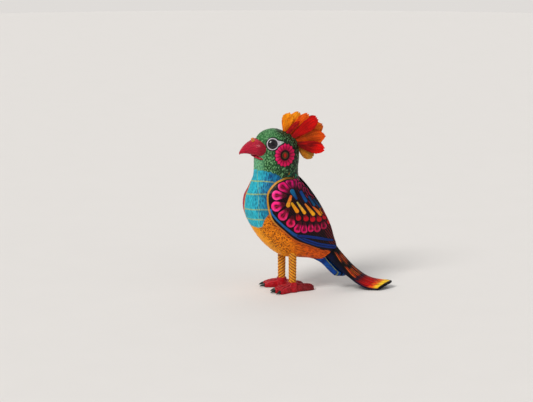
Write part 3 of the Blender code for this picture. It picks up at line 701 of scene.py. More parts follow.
def rod(name, start, end, radius, material, columns=32, chamfer=0.0):
    start, end = np.asarray(start, float), np.asarray(end, float)
    length = np.linalg.norm(end - start)
    profile = [(radius, 0.0), (radius, length)]
    if chamfer:
        profile = [
            (radius - chamfer, 0.0),
            (radius, chamfer),
            (radius * 0.985, length / 2.0),
            (radius, length - chamfer),
            (radius - chamfer, length),
        ]
    rings = turned_profile(profile, start, end - start, columns)
    return build(name, *loft(rings, start, end), material)


# --- body -------------------------------------------------------------------------------------------


def body_grid(t, columns, grow=0.0):
    """Rings of the body at each t along its stations, and how far back each point lies, -1 to 1."""
    low, high, width, face = (spline(column, t) for column in zip(*BODY_STATIONS))
    width = width[:, 0] + grow
    face = np.maximum(face[:, 0], 0.0)
    along, side = circle(columns)
    middle, half = (low + high) / 2.0, (high - low) / 2.0
    half *= 1.0 + grow / np.linalg.norm(half, axis=1, keepdims=True)
    taper = 1.0 - face[:, None] * np.maximum(0.0, -along)[None, :] ** 2
    x = width[:, None] * side * taper
    place = middle[:, None, :] + half[:, None, :] * along[None, :, None]
    return np.concatenate((x[..., None], place), axis=2), np.tile(along, (len(t), 1))


def body_shell(rows, columns, grow=0.0):
    """The whole body's rings, from the cut tail end, whose edge is rounded, to the crown."""
    last = len(BODY_STATIONS) - 1
    below = np.linspace(0.0, NECK_STATION, rows[0], endpoint=False)
    above = np.linspace(NECK_STATION, last, rows[1])
    rings, back = body_grid(np.concatenate((below, above)), columns, grow)
    rim = rings[0]
    centre = rim.mean(axis=0)
    inset = np.array([centre + (rim - centre) * share for share in (0.5, 0.93)])
    rings[0] = centre + (rim - centre) * 0.985
    crown = np.array((0.0, BODY_CROWN[0], BODY_CROWN[1] + grow))
    top = rings[-1]
    flat = top.mean(axis=0)
    dome = []
    for k in range(1, rows[2]):
        angle = 0.5 * math.pi * k / rows[2]
        middle = flat + (crown - flat) * math.sin(angle) ** 2
        dome.append(middle + (top - flat) * math.cos(angle))
    rings = np.concatenate((inset, rings, np.array(dome)))
    back = np.concatenate((back[:1], back[:1], back, np.repeat(back[-1:], len(dome), axis=0)))
    return rings, back, centre, crown


def wing_edge(count):
    """The wing's edge from its tip round to its tip again, and the place of each point in WING_EDGE."""
    ordered = WING_EDGE[WING_TIP_INDEX:] + WING_EDGE[: WING_TIP_INDEX + 1]
    t = np.arange(count) / count * (len(ordered) - 1)
    return spline(ordered, t), (t + WING_TIP_INDEX) % len(WING_EDGE)


def wing_share(places):
    """How far each (y, z) lies from the wing's root, as a share of the way to its edge."""
    edge, _ = wing_edge(WING_BEARINGS)
    out = edge - WING_ROOT
    bearing = np.arctan2(out[:, 1], out[:, 0])
    order = np.argsort(bearing)
    reach = np.linalg.norm(out, axis=1)[order]
    offset = places - WING_ROOT
    heading = np.arctan2(offset[:, 1], offset[:, 0])
    found = np.interp(heading, bearing[order], reach, period=2.0 * math.pi)
    return np.linalg.norm(offset, axis=1) / found


# Where the head's green ends and the breast's blue ends, as (y, z).
GREEN_ENDS = ((-60.0, 171.0), (-35.7, 170.8), (-24.8, 170.0), (-13.9, 165.0), (0.0, 151.0),
              (20.0, 140.0))
BLUE_ENDS = ((-62.0, 97.0), (-51.3, 93.2), (-44.5, 91.7), (-36.2, 93.0), (-33.5, 103.4), (-29.4, 110.3),
             (-20.0, 118.0), (0.0, 135.0), (20.0, 150.0))
BREAST_BANDS = (155.7, 139.2, 118.5, 104.0)
BREAST_RED = (101.0, 154.0, 9.0)  # from this height to that one, and its half width in the middle
BELLY_LINE = (0.93, -0.37)  # the way the belly's streaks run, as (y, z)
BARE_SHARE = 0.42  # the wood under a wing is bare this far out to its edge
EYE_RING = (6.8, 8.1)
EYE_TAIL = ((-16.0, 209.2), (-6.4, 210.5))
CHEEK = (-4.9, 192.8)
CHEEK_RADII = (14.0, 16.0)
CHEEK_PETALS = 16


def paint_body(points, back):
    """Green head, blue breast, orange belly and dark back. back is how far back each point lies."""
    paint = Paint(points, "#3d6f45")
    x, y, z = points.T
    side = points[:, 1:]
    wobble = 0.8 * ripple(points, 8.0, 1)
    paint_head_ground(paint, back)
    green_end = np.interp(y, *zip(*GREEN_ENDS)) + wobble
    blue_end = np.interp(y, *zip(*BLUE_ENDS)) + wobble
    blue = inside(z - green_end, 0.6)
    # painted light and shade: the blue is lighter at the front of the breast and darker towards the back
    ground = between("#3cb6c6", "#2780a8", smooth(-0.8, -0.1, back))
    ground = ground * (1.0 + 0.12 * ripple(points * (1.0, 1.0, 0.3), 5.0, 2))[:, None]
    paint.lay(blue, ground)
    dashes = smooth(-0.85, -0.4, back)
    paint.add_flecks(blue > 0.5, "#10407c", 0.3 + 0.6 * dashes, (1.7, 1.7, 7.0))
    paint_breast(paint, blue, back)
    orange = inside(z - blue_end, 0.6)
    paint_belly(paint, orange, back)
    paint_back(paint, back)
    covered = inside(wing_share(side) - BARE_SHARE, 0.01) * (np.abs(x) > 10.0) * (np.abs(back) < 0.97)
    paint.lay(covered, bare_wood(points, 3))
    paint.fleck[covered > 0.5, 3] = 0.1
    flank = np.abs(x) > 6.0
    paint_cheek(paint, side, flank)
    paint_eye_surround(paint, flank)
    return paint


def bare_wood(points, seed):
    """The colour of bare wood, whose grain runs up the figure."""
    grain = mottle(points * (1.0, 1.0, 0.1), 3.0, seed)
    return between("#cba873", "#b98d58", grain)


def paint_head_ground(paint, back):
    """Green, with painted light on the crown, a lighter throat, and painted shade behind and low on the
    sides, with pale flecks.
    """
    z = paint.points[:, 2]
    # painted shade: the green darkens towards the back of the head
    ground = between("#316239", "#1e2a18", smooth(-0.05, 0.7, back))
    # painted light: the crown is lighter on top
    crown = smooth(200.0, 214.0, z) * smooth(0.75, -0.3, back)
    ground = towards(ground, "#437c4c", crown)
    throat = smooth(-0.45, -0.85, back) * smooth(204.0, 190.0, z)
    ground = towards(ground, "#6fae88", throat)
    # painted shade: darker low on the head, at its sides and behind
    low = smooth(186.0, 170.0, z) * smooth(-0.35, 0.2, back)
    ground = towards(ground, "#28402a", 0.7 * low)
    paint.cover(ground)
    paint.add_flecks(EVERYWHERE, "#76ac74", 0.85 - 0.3 * smooth(0.0, 0.6, back), (1.7, 1.7, 3.4))


def paint_breast(paint, blue, back):
    """Gold bands across the blue, and a red panel down the middle of the breast."""
    x, y, z = paint.points.T
    fading = blue * smooth(0.1, -0.1, back)
    for level in BREAST_BANDS:
        bow = level + 1.4 * np.sin((y + 44.0) / 9.0) - 0.02 * (np.abs(x) - 12.0) ** 2 / 6.0
        band = inside(np.abs(z - bow) - 0.75, 0.45)
        paint.lay(band * fading * 0.75, "#b9b84e", 0.1)
        wide = (band * fading) > 0.5
        paint.fleck[wide, 3] *= 0.3
    seam = inside(np.abs(y + 41.0 + 0.02 * (z - 120.0)) - 0.45, 0.4)
    paint.lay(seam * fading * 0.45, "#a8b860")
    low, high, width = BREAST_RED
    share = np.clip((z - low) / (high - low), 0.0, 1.0)
    half = width * np.sin(math.pi * share) ** 0.75
    distance = np.abs(x) - half
    panel = inside(distance, 0.5) * smooth(-0.55, -0.7, back) * (half > 0.3)
    rim = inside(np.abs(distance) - 0.6, 0.4) * smooth(-0.55, -0.7, back) * (half > 0.3)
    ribs = 0.5 + 0.5 * np.sin(z * 2.0 * math.pi / 3.4 + np.abs(x) * 0.9)
    paint.lay(panel, between("#a31d3c", "#c8405c", ribs), 0.15)
    paint.lay(rim, "#d8b04c", 0.25)
    paint.fleck[panel > 0.3, 3] = 0.15


def paint_belly(paint, orange, back):
    """Orange with dark dots in front and streaks behind, painted light on the front and painted shade
    along the wing.
    """
    x, y, z = paint.points.T
    rear = smooth(-8.0, 34.0, y)
    ground = between("#e88c16", "#ec6c0c", rear)
    # painted light: the front of the belly is lighter
    bright = smooth(-0.55, -0.98, back) * smooth(20.0, -20.0, y)
    ground = towards(ground, "#f8ac22", bright)
    # painted shade: a darker orange along the wing's edge, where the wing shades the belly
    shade_by_wing = smooth(1.14, 1.02, wing_share(paint.points[:, 1:])) * (np.abs(x) > 8.0)
    ground = towards(ground, "#cf5c1c", 0.45 * shade_by_wing)
    paint.lay(orange, ground)
    dots = (orange > 0.5) & (y < 8.0)
    amount = smooth(-0.98, -0.7, back) * smooth(16.0, -2.0, y)
    paint.add_flecks(dots, "#6a2a06", 0.9 * amount, (2.2, 2.2, 2.2))
    streaks = (orange > 0.5) & (y >= 8.0)
    paint.add_flecks(streaks, "#7a2a06", 0.7, 1.0)
    run = unit(BELLY_LINE)
    along = y * run[0] + z * run[1]
    across = z * run[0] - y * run[1]
    turned = np.stack((x / 1.8, along / 9.0, across / 1.8), axis=1)
    paint.fleck_place[streaks] = turned[streaks]


def paint_back(paint, back):
    """Dark mantle between the wings, with rows of small feathers."""
    x, y, z = paint.points.T
    mantle = smooth(0.34, 0.42, back) * smooth(172.0, 163.0, z + 0.8 * ripple(paint.points, 6.0, 5))
    paint.lay(mantle, between("#10241d", "#0c1030", smooth(140.0, 90.0, z)))
    run = (y * 0.6 - z * 0.8) / 9.0
    row = np.floor(run)
    across = x / 8.0 + 0.5 * (row % 2.0)
    dx = (across - np.round(across)) * 8.0
    dz = (run - row) * 9.0
    arc = np.hypot(dx, dz - 1.0)
    middle = mantle * smooth(0.48, 0.56, back)
    feather = inside(np.abs(arc - 3.7) - 0.45, 0.35) * (dz > 0.6) * middle
    inner = inside(np.abs(dx) - 0.35, 0.3) * (dz < 3.4) * (dz > 0.8) * middle
    paint.lay(feather, between("#2f9a72", "#1d6fa0", smooth(140.0, 90.0, z)), 0.15)
    paint.lay(inner, "#c9922a", 0.15)
    paint.fleck[mantle > 0.5, 3] *= 0.35


def paint_cheek(paint, side, flank):
    """A round flower with a ringed eye."""
    offset = (side - CHEEK) / CHEEK_RADII
    radius = np.linalg.norm(offset, axis=1)
    bearing = np.arctan2(offset[:, 1], offset[:, 0])
    wave = np.cos(CHEEK_PETALS * bearing)
    edge = 0.95 + 0.05 * wave
    flower = inside((radius - edge) * 14.0, 0.5) * flank
    petals = between("#a3063f", "#dc1462", smooth(0.35, 0.95, radius))
    lit = smooth(0.2, -0.9, offset[:, 0])
    petals = towards(petals, "#ee3a86", 0.55 * lit * smooth(0.5, 0.95, radius))
    paint.lay(inside((radius - edge - 0.09) * 14.0, 0.5) * flank, "#16201a")
    paint.lay(flower, petals, 0.25)
    groove = smooth(-0.55, -0.95, wave) * smooth(1.0, 0.72, radius) * flower
    paint.lay(groove * 0.85, "#4a0420", 0.0)
    thread = smooth(0.75, 0.98, wave) * smooth(0.62, 0.5, radius) * flower
    paint.lay(thread * 0.6, "#6a0630")
    for limit, tint, height in ((0.47, "#1a0f12", 0.1), (0.31, "#6a4a26", 0.3), (0.2, "#2a1a12", 0.3)):
        paint.lay(inside((radius - limit) * 14.0, 0.4) * flank, tint, height)
    oval = np.hypot(offset[:, 0] * 14.0 / 1.9, offset[:, 1] * 16.0 / 3.1)
    paint.lay(inside((oval - 1.0) * 2.0, 0.5) * flank, "#b3221c", 0.45)
    ticks = smooth(0.5, 0.9, np.cos(12.0 * bearing)) * inside(np.abs(radius - 0.31) * 14.0 - 0.8, 0.4)
    paint.lay(ticks * flank, "#0f140f")
    paint.fleck[(radius < 1.06) & flank, 3] = 0.0


def paint_eye_surround(paint, flank):
    """A white ring drawn out to a point behind the eye, with a black outline."""
    x, y, z = paint.points.T
    own_side = np.stack((np.abs(x), y, z), axis=1)
    offset = own_side - EYE_CENTRE
    depth = offset @ unit(EYE_FACING)
    radius = np.linalg.norm(offset - depth[:, None] * unit(EYE_FACING), axis=1)
    _, _, tail = stroke(paint.points[:, 1:], EYE_TAIL[0], EYE_TAIL[1], 4.2, 0.5)
    white = np.minimum(radius - EYE_RING[1], tail)
    paint.lay(inside(white - 1.5, 0.5) * flank, "#101214")
    ground = between("#d8d2d8", "#9fb8a4", smooth(-14.0, -7.0, y))
    ground *= (1.0 - 0.22 * smooth(-19.0, -13.0, y) * smooth(-7.0, -13.0, y))[:, None]
    paint.lay(inside(white, 0.4) * flank, ground, 0.3)
    paint.lay(inside(radius - EYE_RING[0] - 0.15, 0.3) * flank, "#0a090b", 0.0)
    paint.fleck[(white < 2.0) & flank, 3] = 0.0


def make_body(materials):
    """The body, with its sockets. Returns its smooth surface, for the wings to lie against."""
    rings, back, tail_end, crown = body_shell(BODY_ROWS, BODY_COLUMNS)
    points, quads, tris = loft(rings, tail_end, crown)
    smooth_points = points.copy()
    back = np.concatenate((back.ravel(), (0.0, 0.0)))
    paint = paint_body(points, back)
    facets = 0.16 * ripple(points, 7.0, 11) + 0.07 * ripple(points, 2.6, 12)
    points = points + ring_normals(rings) * (facets + paint.height)[:, None]
    points[: 2 * BODY_COLUMNS] += np.array(TAIL_END_NORMAL) * 0.05
    piece = build("painted_body", points, quads, tris, materials["body"], paint)
    cut(piece, *body_sockets(materials["wood"]))
    ready(piece, "carving", "body")
    faces = [tuple(f) for f in quads] + [tuple(f) for f in tris]
    return BVHTree.FromPolygons([Vector(p) for p in smooth_points], faces)


def bead_seat(side, centre, facing, radius, reach, wood, columns):
    """A tool for the seat of a bead, which reaches that far past the bead's rim."""
    centre, facing = bead_place(side, centre, facing)
    floor, top = centre - facing * (BEAD_SEAT_DEPTH + GAP), centre + facing * reach
    return rod("bead_seat", floor, top, radius + SEAT_CLEARANCE, wood, columns)


def body_sockets(wood):
    """Tools for the sockets of eyes, pegs and the crest's plug."""
    tools = []
    for side in (1, -1):
        tools.append(bead_seat(side, EYE_CENTRE, EYE_FACING, EYE_RADIUS, EYE_SEAT_REACH, wood, 64))
        for y, z in WING_PEGS:
            line = wing_peg_line(side, y, z, WING_PEG_DEPTH + GAP, WING_SOCKET_REACH)
            tools.append(rod("wing_socket", *line, WING_PEG_RADIUS + GAP, wood))
    for middle, pull, radius, into_body, _ in (TAIL_PEG, UNDER_TAIL_PEG):
        middle, pull = np.array(middle), np.array(pull)
        floor, top = middle - pull * (into_body + GAP), middle + pull * TAIL_SOCKET_REACH
        tools.append(rod("tail_socket", floor, top, radius + GAP, wood))
    tools.append(crest_slot(wood))
    return tools


# --- beak, eyes and nostrils ------------------------------------------------------------------------


def beak_rings(stations, tip, widths, mouth_at):
    """Rings of a beak half, broad at its mouth, which is at 1 above it or at -1 below it."""
    t = np.linspace(0.0, len(stations) - 1, BEAK_ROWS)
    low, high, width = (spline(column, t) for column in zip(*stations))
    width = width[:, 0] * widths
    along, across = circle(BEAK_COLUMNS)
    middle, half = (low + high) / 2.0, (high - low) / 2.0
    place = middle[:, None, :] + half[:, None, :] * along[None, :, None]
    power = np.where(along * mouth_at > 0.0, MOUTH_SQUARENESS, 1.0)
    across = np.sign(across) * np.abs(across) ** power
    rings = np.concatenate(((width[:, None] * across)[..., None], place), axis=2)
    end = rings[-1].mean(axis=0)
    cap = []
    for k in range(1, BEAK_TIP_ROWS):
        angle = 0.5 * math.pi * k / BEAK_TIP_ROWS
        cap.append(end + (tip - end) * math.sin(angle) + (rings[-1] - end) * math.cos(angle))
    rings = np.concatenate((rings, np.array(cap)))
    return rings, np.append(np.tile(along, len(rings)), (0.0, 1.0))


def paint_beak(points, upness, grain, is_upper):
    """Red, with painted shade darker at the head and painted light at the tip and along the top of the
    upper half. upness is how far up its ring a point lies.
    """
    paint = Paint(points, "#b01c36")
    _, y, z = points.T
    paint.cover(between("#a51a33", "#c4284a", 0.5 + 0.5 * grain))
    # painted shade where the beak meets the head
    paint.lay(smooth(-46.0, -36.0, y) * 0.55, "#86172b")
    # painted light towards the tip
    paint.lay(smooth(-55.0, -66.0, y) * 0.6, "#cf2a48")
    if is_upper:
        paint.lay(smooth(193.5, 191.0, z) * 0.6, "#d84a66")
        # painted highlight along the top of the upper half
        paint.lay(smooth(0.35, 0.95, upness) * 0.35, "#d23a52")
    else:
        paint.lay(smooth(185.5, 183.5, z) * 0.6, "#cf4a6a")
    paint.add_flecks(EVERYWHERE, "#7c1226", 0.4, (1.0, 7.0, 1.6))
    return paint


def make_beak_half(node, stations, tip, widths, materials, gauge):
    """A beak half, cut back to the head."""
    is_upper = node == "upper_beak"
    tip = np.array((0.0, *tip))
    rings, upness = beak_rings(stations, tip, widths, -1.0 if is_upper else 1.0)
    points, quads, tris = loft(rings, rings[0].mean(axis=0), tip)
    grain = ripple(points * (1.0, 0.16, 0.8), 1.6, 21)
    paint = paint_beak(points, upness, grain, is_upper)
    points = points + ring_normals(rings) * (0.1 * grain + 0.1 * ripple(points, 5.0, 22))[:, None]
    piece = build(f"{node}_carved", points, quads, tris, materials["beak"], paint)
    tools = [linked_copy(gauge)]
    if is_upper:
        for side in (1, -1):
            tools.append(bead_seat(side, NOSTRIL_CENTRE, NOSTRIL_FACING, NOSTRIL_RADIUS,
                                   NOSTRIL_SEAT_REACH, materials["wood"], 48))
    cut(piece, *tools)
    ready(piece, "carving", node)


def make_eye(side, materials):
    profile = [
        (EYE_RADIUS * 0.96, -BEAD_SEAT_DEPTH),
        (EYE_RADIUS, -BEAD_SEAT_DEPTH + 0.3),
        (EYE_RADIUS, 0.0),
    ]
    for k in range(1, 18):
        angle = 0.5 * math.pi * k / 18
        profile.append((EYE_RADIUS * math.cos(angle), EYE_DOME * math.sin(angle)))
    centre, facing = bead_place(side, EYE_CENTRE, EYE_FACING)
    rings = turned_profile(profile, centre, facing, 72)
    floor, top = centre - facing * BEAD_SEAT_DEPTH, centre + facing * EYE_DOME
    name = side_name(side, "eye")
    piece = build(f"{name}_enamelled", *loft(rings, floor, top), materials["eye"])
    ready(piece, "carving", name)


def make_nostril(side, materials):
    """A small bead with a drilled hole, with painted shade in and round the hole and a painted highlight
    on its top.
    """
    profile = [(NOSTRIL_RADIUS, -BEAD_SEAT_DEPTH), (NOSTRIL_RADIUS, 0.0)]
    hole, depth = NOSTRIL_HOLE, NOSTRIL_HOLE_DEPTH
    ridge = (NOSTRIL_RADIUS + hole) / 2.0
    for k in range(1, 14):
        angle = math.pi * k / 14
        radius = ridge + (NOSTRIL_RADIUS - ridge) * math.cos(angle)
        profile.append((radius, NOSTRIL_DOME * math.sin(angle)))
    profile += [(hole, 0.0), (hole * 0.8, -depth * 0.6), (hole * 0.4, -depth * 0.8)]
    centre, facing = bead_place(side, NOSTRIL_CENTRE, NOSTRIL_FACING)
    rings = turned_profile(profile, centre, facing, 48)
    floor = centre - facing * BEAD_SEAT_DEPTH
    points, quads, tris = loft(rings, floor, centre - facing * depth * 0.85)
    paint = Paint(points, "#e08a34")
    offset = points - centre
    height = offset @ facing
    radius = np.linalg.norm(offset - height[:, None] * facing, axis=1)
    # painted shade in and round the drilled hole
    paint.lay(smooth(1.5, 0.95, radius), "#2e1606")
    # painted highlight on the top of the bead
    paint.lay(smooth(0.9, 1.6, height) * 0.6, "#f2b45c")
    paint.add_flecks(EVERYWHERE, "#8a4410", 0.3, 0.8)
    name = side_name(side, "nostril")
    piece = build(f"{name}_bead", points, quads, tris, materials["bead"], paint)
    ready(piece, "carving", name)


# --- wings ------------------------------------------------------------------------------------------


def wing_face(places):
    """How far out the wing's face stands at each (y, z), its rounded edge left out."""
    root = np.array(WING_ROOT)
    along = unit(np.array(WING_EDGE[WING_TIP_INDEX]) - root)
    across = np.array((-along[1], along[0]))
    offset = places - root
    a, b = offset @ along - WING_CREST[0], offset @ across - WING_CREST[1]
    return WING_CROWN - WING_FALL_ALONG * a * a - WING_FALL_ACROSS * b * b


# Each scallop: its outer end and inner end as (y, z), its half width, and its bright and deep paint.
SCALLOPS = (
    ((21.5, 149.5), (21.0, 140.5), 2.5, "#8a0c46", "#4c0826"),
    ((14.4, 156.0), (16.0, 144.5), 2.9, "#a00e54", "#540a2c"),
    ((7.0, 160.0), (10.4, 147.0), 3.4, "#b20f60", "#600a32"),
    ((-1.5, 160.4), (5.0, 146.0), 5.6, "#c41070", "#700a3a"),
    ((-14.0, 154.6), (1.5, 143.5), 6.2, "#e01276", "#8c0a3c"),
    ((-23.6, 139.9), (-6.5, 139.2), 6.5, "#ff3f9c", "#a80d40"),
    ((-24.4, 122.8), (-8.5, 127.5), 7.0, "#ff3590", "#a80d40"),
    ((-13.2, 107.0), (-2.2, 120.5), 6.6, "#ec2874", "#a00c3c"),
    ((0.3, 95.8), (4.0, 109.5), 6.2, "#e81e66", "#9c0c38"),
    ((9.9, 88.1), (14.8, 102.0), 5.4, "#e81472", "#960c40"),
    ((20.6, 86.6), (20.8, 101.0), 4.6, "#e21270", "#8c0a3c"),
    ((30.2, 87.9), (29.2, 101.0), 4.4, "#e4126c", "#8c0a38"),
    ((39.8, 87.1), (37.2, 101.0), 4.6, "#c80e58", "#740a30"),
    ((49.2, 90.4), (46.2, 103.0), 4.4, "#b00c4a", "#660828"),
)
DARK_BLOBS = ((12.5, 108.3), (23.0, 107.0), (32.4, 105.6), (41.6, 105.0), (49.8, 107.4), (56.5, 100.0))
# Straight dabs: start, end, radius at each, and the paint at each.
DABS = (
    ((2.2, 138.0), (-1.6, 126.2), 1.6, 2.9, "#d8642a", "#e2a42c"),
    ((3.6, 128.4), (10.6, 117.8), 1.7, 2.6, "#d8a01c", "#e8921c"),
    ((11.1, 129.6), (20.8, 115.4), 1.0, 2.3, "#c9b45c", "#eba21e"),
    ((22.0, 126.8), (33.2, 112.6), 1.0, 2.5, "#d0742c", "#efae20"),
    ((32.9, 122.6), (43.4, 111.8), 1.0, 2.3, "#c9542a", "#ec9a20"),
    ((41.6, 122.4), (46.4, 114.0), 1.2, 2.3, "#a8401c", "#d88a1c"),
    ((4.3, 144.6), (9.9, 134.8), 3.0, 1.5, "#0f6f96", "#0b3f78"),
    ((16.4, 143.0), (23.0, 131.2), 2.0, 2.1, "#123f7c", "#0d5a92"),
    ((27.3, 136.2), (34.6, 125.0), 1.2, 1.7, "#1a3a6a", "#0e5a80"),
    ((34.2, 132.0), (42.8, 121.4), 1.1, 1.2, "#14345c", "#10486a"),
    ((45.4, 117.6), (51.0, 110.2), 1.0, 1.6, "#5a0c20", "#a01224"),
)
BLUE_STRIPE = ((-25.4, 120.0), (-23.4, 114.0), (-17.0, 106.2), (-7.6, 97.0), (5.8, 85.6), (22.3, 76.0),
               (40.2, 68.6), (56.7, 64.2), (64.0, 62.4))
UPPER_STRIPE = ((14.0, 83.0), (26.0, 81.4), (40.0, 78.4), (52.0, 75.2), (61.0, 73.0))


def paint_wing(points):
    """The outer face: scallops and dabs on black, with a bright rim."""
    places = points[:, 1:]
    paint = Paint(points, "#0c060c")
    tree = KDTree(WING_EDGE_SAMPLES)
    edge, index = wing_edge(WING_EDGE_SAMPLES)
    for k, (y, z) in enumerate(edge):
        tree.insert((y, z, 0.0), k)
    tree.balance()
    nearest = [tree.find((y, z, 0.0)) for y, z in places]
    to_edge = np.array([found[2] for found in nearest])
    where = index[[found[1] for found in nearest]]
    slant = places @ np.array((0.81, 0.586)) + 0.7 * ripple(places, 14.0, 31)
    hairs = smooth(0.25, 0.95, np.sin(slant * 2.0 * math.pi / 2.7))
    paint.lay(hairs * 0.6, "#560a20", 0.12)
    ridge = smooth(13.0, 8.0, to_edge) * smooth(3.6, 4.6, where) * smooth(11.8, 10.6, where)
    paint.lay(ridge * hairs, between("#b40c5c", "#8a0c24", smooth(5.0, 8.0, where)), 0.2)
    for outer, inner, half, bright, deep in SCALLOPS:
        paint_scallop(paint, places, outer, inner, half, bright, deep)
    for y, z in DARK_BLOBS:
        along, across, outside = stroke(places, (y - 2.2, z + 7.0), (y, z), 1.4, 3.7)
        core = between("#6a0818", "#c00c28", smooth(0.2, 0.9, along))
        paint.lay(inside(outside - 0.9, 0.4), "#14060c", 0.0)
        paint.lay(inside(outside, 0.45), core, 0.35)
        lines = smooth(0.2, 0.8, np.sin(across * 6.0)) * smooth(1.0, 0.5, along)
        paint.lay(inside(outside + 0.6, 0.5) * lines * 0.8, "#2a0410", 0.2)
    for start, end, start_radius, end_radius, first, second in DABS:
        along, across, outside = stroke(places, start, end, start_radius, end_radius)
        paint.lay(inside(outside - 0.9, 0.4), "#0c070c", 0.0)
        bristle = 0.14 * np.sin(across * 7.0 + along * 4.0)
        paint.lay(inside(outside, 0.4), between(first, second, along + bristle), 0.4)
    paint_wing_edge(paint, places, to_edge, where)
    paint.add_flecks(EVERYWHERE, "#2a0c18", 0.18, (1.4, 1.4, 3.0))
    return paint


def paint_scallop(paint, places, outer, inner, half, bright, deep):
    """A rounded feather with rays and a bright outer rim."""
    outer, inner = np.array(outer), np.array(inner)
    way = unit(outer - inner)
    along, across, outside = stroke(places, inner, outer - way * half, half * 0.45, half)
    paint.lay(inside(outside - 1.1, 0.4), "#0f0a18", 0.0)
    depth = np.maximum(-outside, 0.0) / half
    radial = places - inner
    bearing = np.arctan2(radial @ np.array((-way[1], way[0])), radial @ way)
    rays = smooth(-0.35, 0.5, np.sin(bearing * 17.0 + 1.2))
    rim = smooth(0.85, 0.25, depth) * smooth(0.15, 0.75, along)
    inner_tint = between("#230710", deep, rays * (0.45 + 0.55 * along))
    tint = inner_tint + (colour(bright) - inner_tint) * rim[:, None]
    lit = smooth(0.4, 0.1, depth) * smooth(0.6, 1.0, along) * smooth(0.3, -0.6, across)
    tint += (colour("#ff6ab0") - tint) * (0.4 * lit)[:, None] * min(1.0, colour(bright)[0])
    height = 0.1 + 0.38 * smooth(0.0, 0.35, depth) * (0.4 + 0.6 * np.maximum(rays, rim))
    paint.lay(inside(outside, 0.4), tint, height)


def paint_wing_edge(paint, places, to_edge, where):
    """The rim and the stripes that follow the wing's lower edge."""
    front = np.where(where > 14.0, where - len(WING_EDGE), where)
    has_rim = smooth(4.9, 4.0, front)
    band = inside(to_edge - 3.6, 0.4) * has_rim
    paint.lay(band, "#130d1a", 0.0)
    stripe = line_distance(places, BLUE_STRIPE)
    rear = smooth(-20.0, 30.0, places[:, 0])
    width = 1.3 + 1.5 * rear
    blues = between("#2a6ea6", "#0a3c8a", rear)
    paint.lay(inside(stripe - width - 0.9, 0.4), "#0a0812", 0.0)
    paint.lay(inside(stripe - width, 0.4), blues, 0.3)
    line = inside(np.abs(stripe - width * 0.1) - 0.3, 0.25) * smooth(4.0, 20.0, places[:, 0])
    paint.lay(line * 0.8, "#050816", 0.1)
    upper = line_distance(places, UPPER_STRIPE)
    width = 1.8 - 0.6 * smooth(45.0, 62.0, places[:, 0])
    paint.lay(inside(upper - width - 1.0, 0.4), "#08060c", 0.0)
    paint.lay(inside(upper - width, 0.4), between("#143c70", "#0f3a86", rear), 0.3)
    paint.lay(inside(np.abs(upper) - 0.25, 0.25) * 0.7, "#070a1c", 0.1)
    rim_width = 2.1 - 0.9 * smooth(-4.0, -7.0, front)
    rim = inside(to_edge - rim_width, 0.35) * has_rim * smooth(-7.6, -6.8, front)
    yellow = smooth(-4.0, -1.0, front)
    tint = between("#cf6a20", "#c8923a", yellow)
    tint = towards(tint, "#7c5a20", smooth(2.5, 4.2, front))
    paint.lay(rim, tint, 0.45)


def wing_peg_line(side, y, z, inwards, outwards):
    """Two points on the line of the peg at (y, z), that far in and out from the wing's underside."""
    seat = wing_face(np.array([[y, z]]))[0] - WING_THICKNESS
    return (side * (seat - inwards), y, z), (side * (seat + outwards), y, z)


def wing_rings(tree):
    """Rings of the left wing, as (x, y, z): its outer face, its rounded edge and its inner face."""
    edge, _ = wing_edge(WING_COLUMNS)
    spokes = edge - WING_ROOT
    bulge = WING_EDGE_BULGE / np.linalg.norm(spokes, axis=1)
    reach = 1.0 - bulge.mean()
    outer = []
    for share in np.linspace(0.0, 1.0, WING_RINGS + 1)[1:] * reach:
        places = WING_ROOT + spokes * share
        drop = WING_RIM * max(0.0, (share - WING_RIM_START) / (1.0 - WING_RIM_START)) ** 2.2
        outer.append(np.column_stack((wing_face(places) - drop, places)))
    inner = []
    for share in np.linspace(reach, 0.0, WING_INNER_RINGS, endpoint=False):
        places = WING_ROOT + spokes * share
        height = wing_face(places) - WING_THICKNESS * (1.0 - WING_EDGE_THINNING * share)
        lifted = [body_surface(tree, y, z) + WING_CLEARANCE for y, z in places]
        inner.append(np.column_stack((np.maximum(height, lifted), places)))
    inner[0][:, 0] = np.minimum(inner[0][:, 0], outer[-1][:, 0] - WING_THINNEST)
    rounded = []
    for f in np.arange(1, WING_EDGE_ROWS) / WING_EDGE_ROWS:
        swing = 0.5 - 0.5 * math.cos(math.pi * f)
        ring = outer[-1] + (inner[0] - outer[-1]) * swing
        ring[:, 1:] += spokes * (bulge * math.sin(math.pi * f))[:, None]
        rounded.append(ring)
    return np.array(outer + rounded + inner)


def paint_wing_underside(paint):
    """Dark paint on the inner rings, and bare wood over their middle, where the body touches."""
    start = (WING_RINGS + WING_EDGE_ROWS - 1) * WING_COLUMNS
    last = len(paint.points) - 1  # the middle of the underside; the one before it is the outer face's
    covered = np.append(np.arange(start, last - 1), last)
    shares = np.append(np.repeat(np.linspace(1.0, 0.0, WING_INNER_RINGS), WING_COLUMNS), 0.0)
    bare = smooth(BARE_SHARE + 0.02, BARE_SHARE, shares)
    wood = bare_wood(paint.points, 33)
    paint.rgb[covered] = between("#140c18", wood[covered], bare)


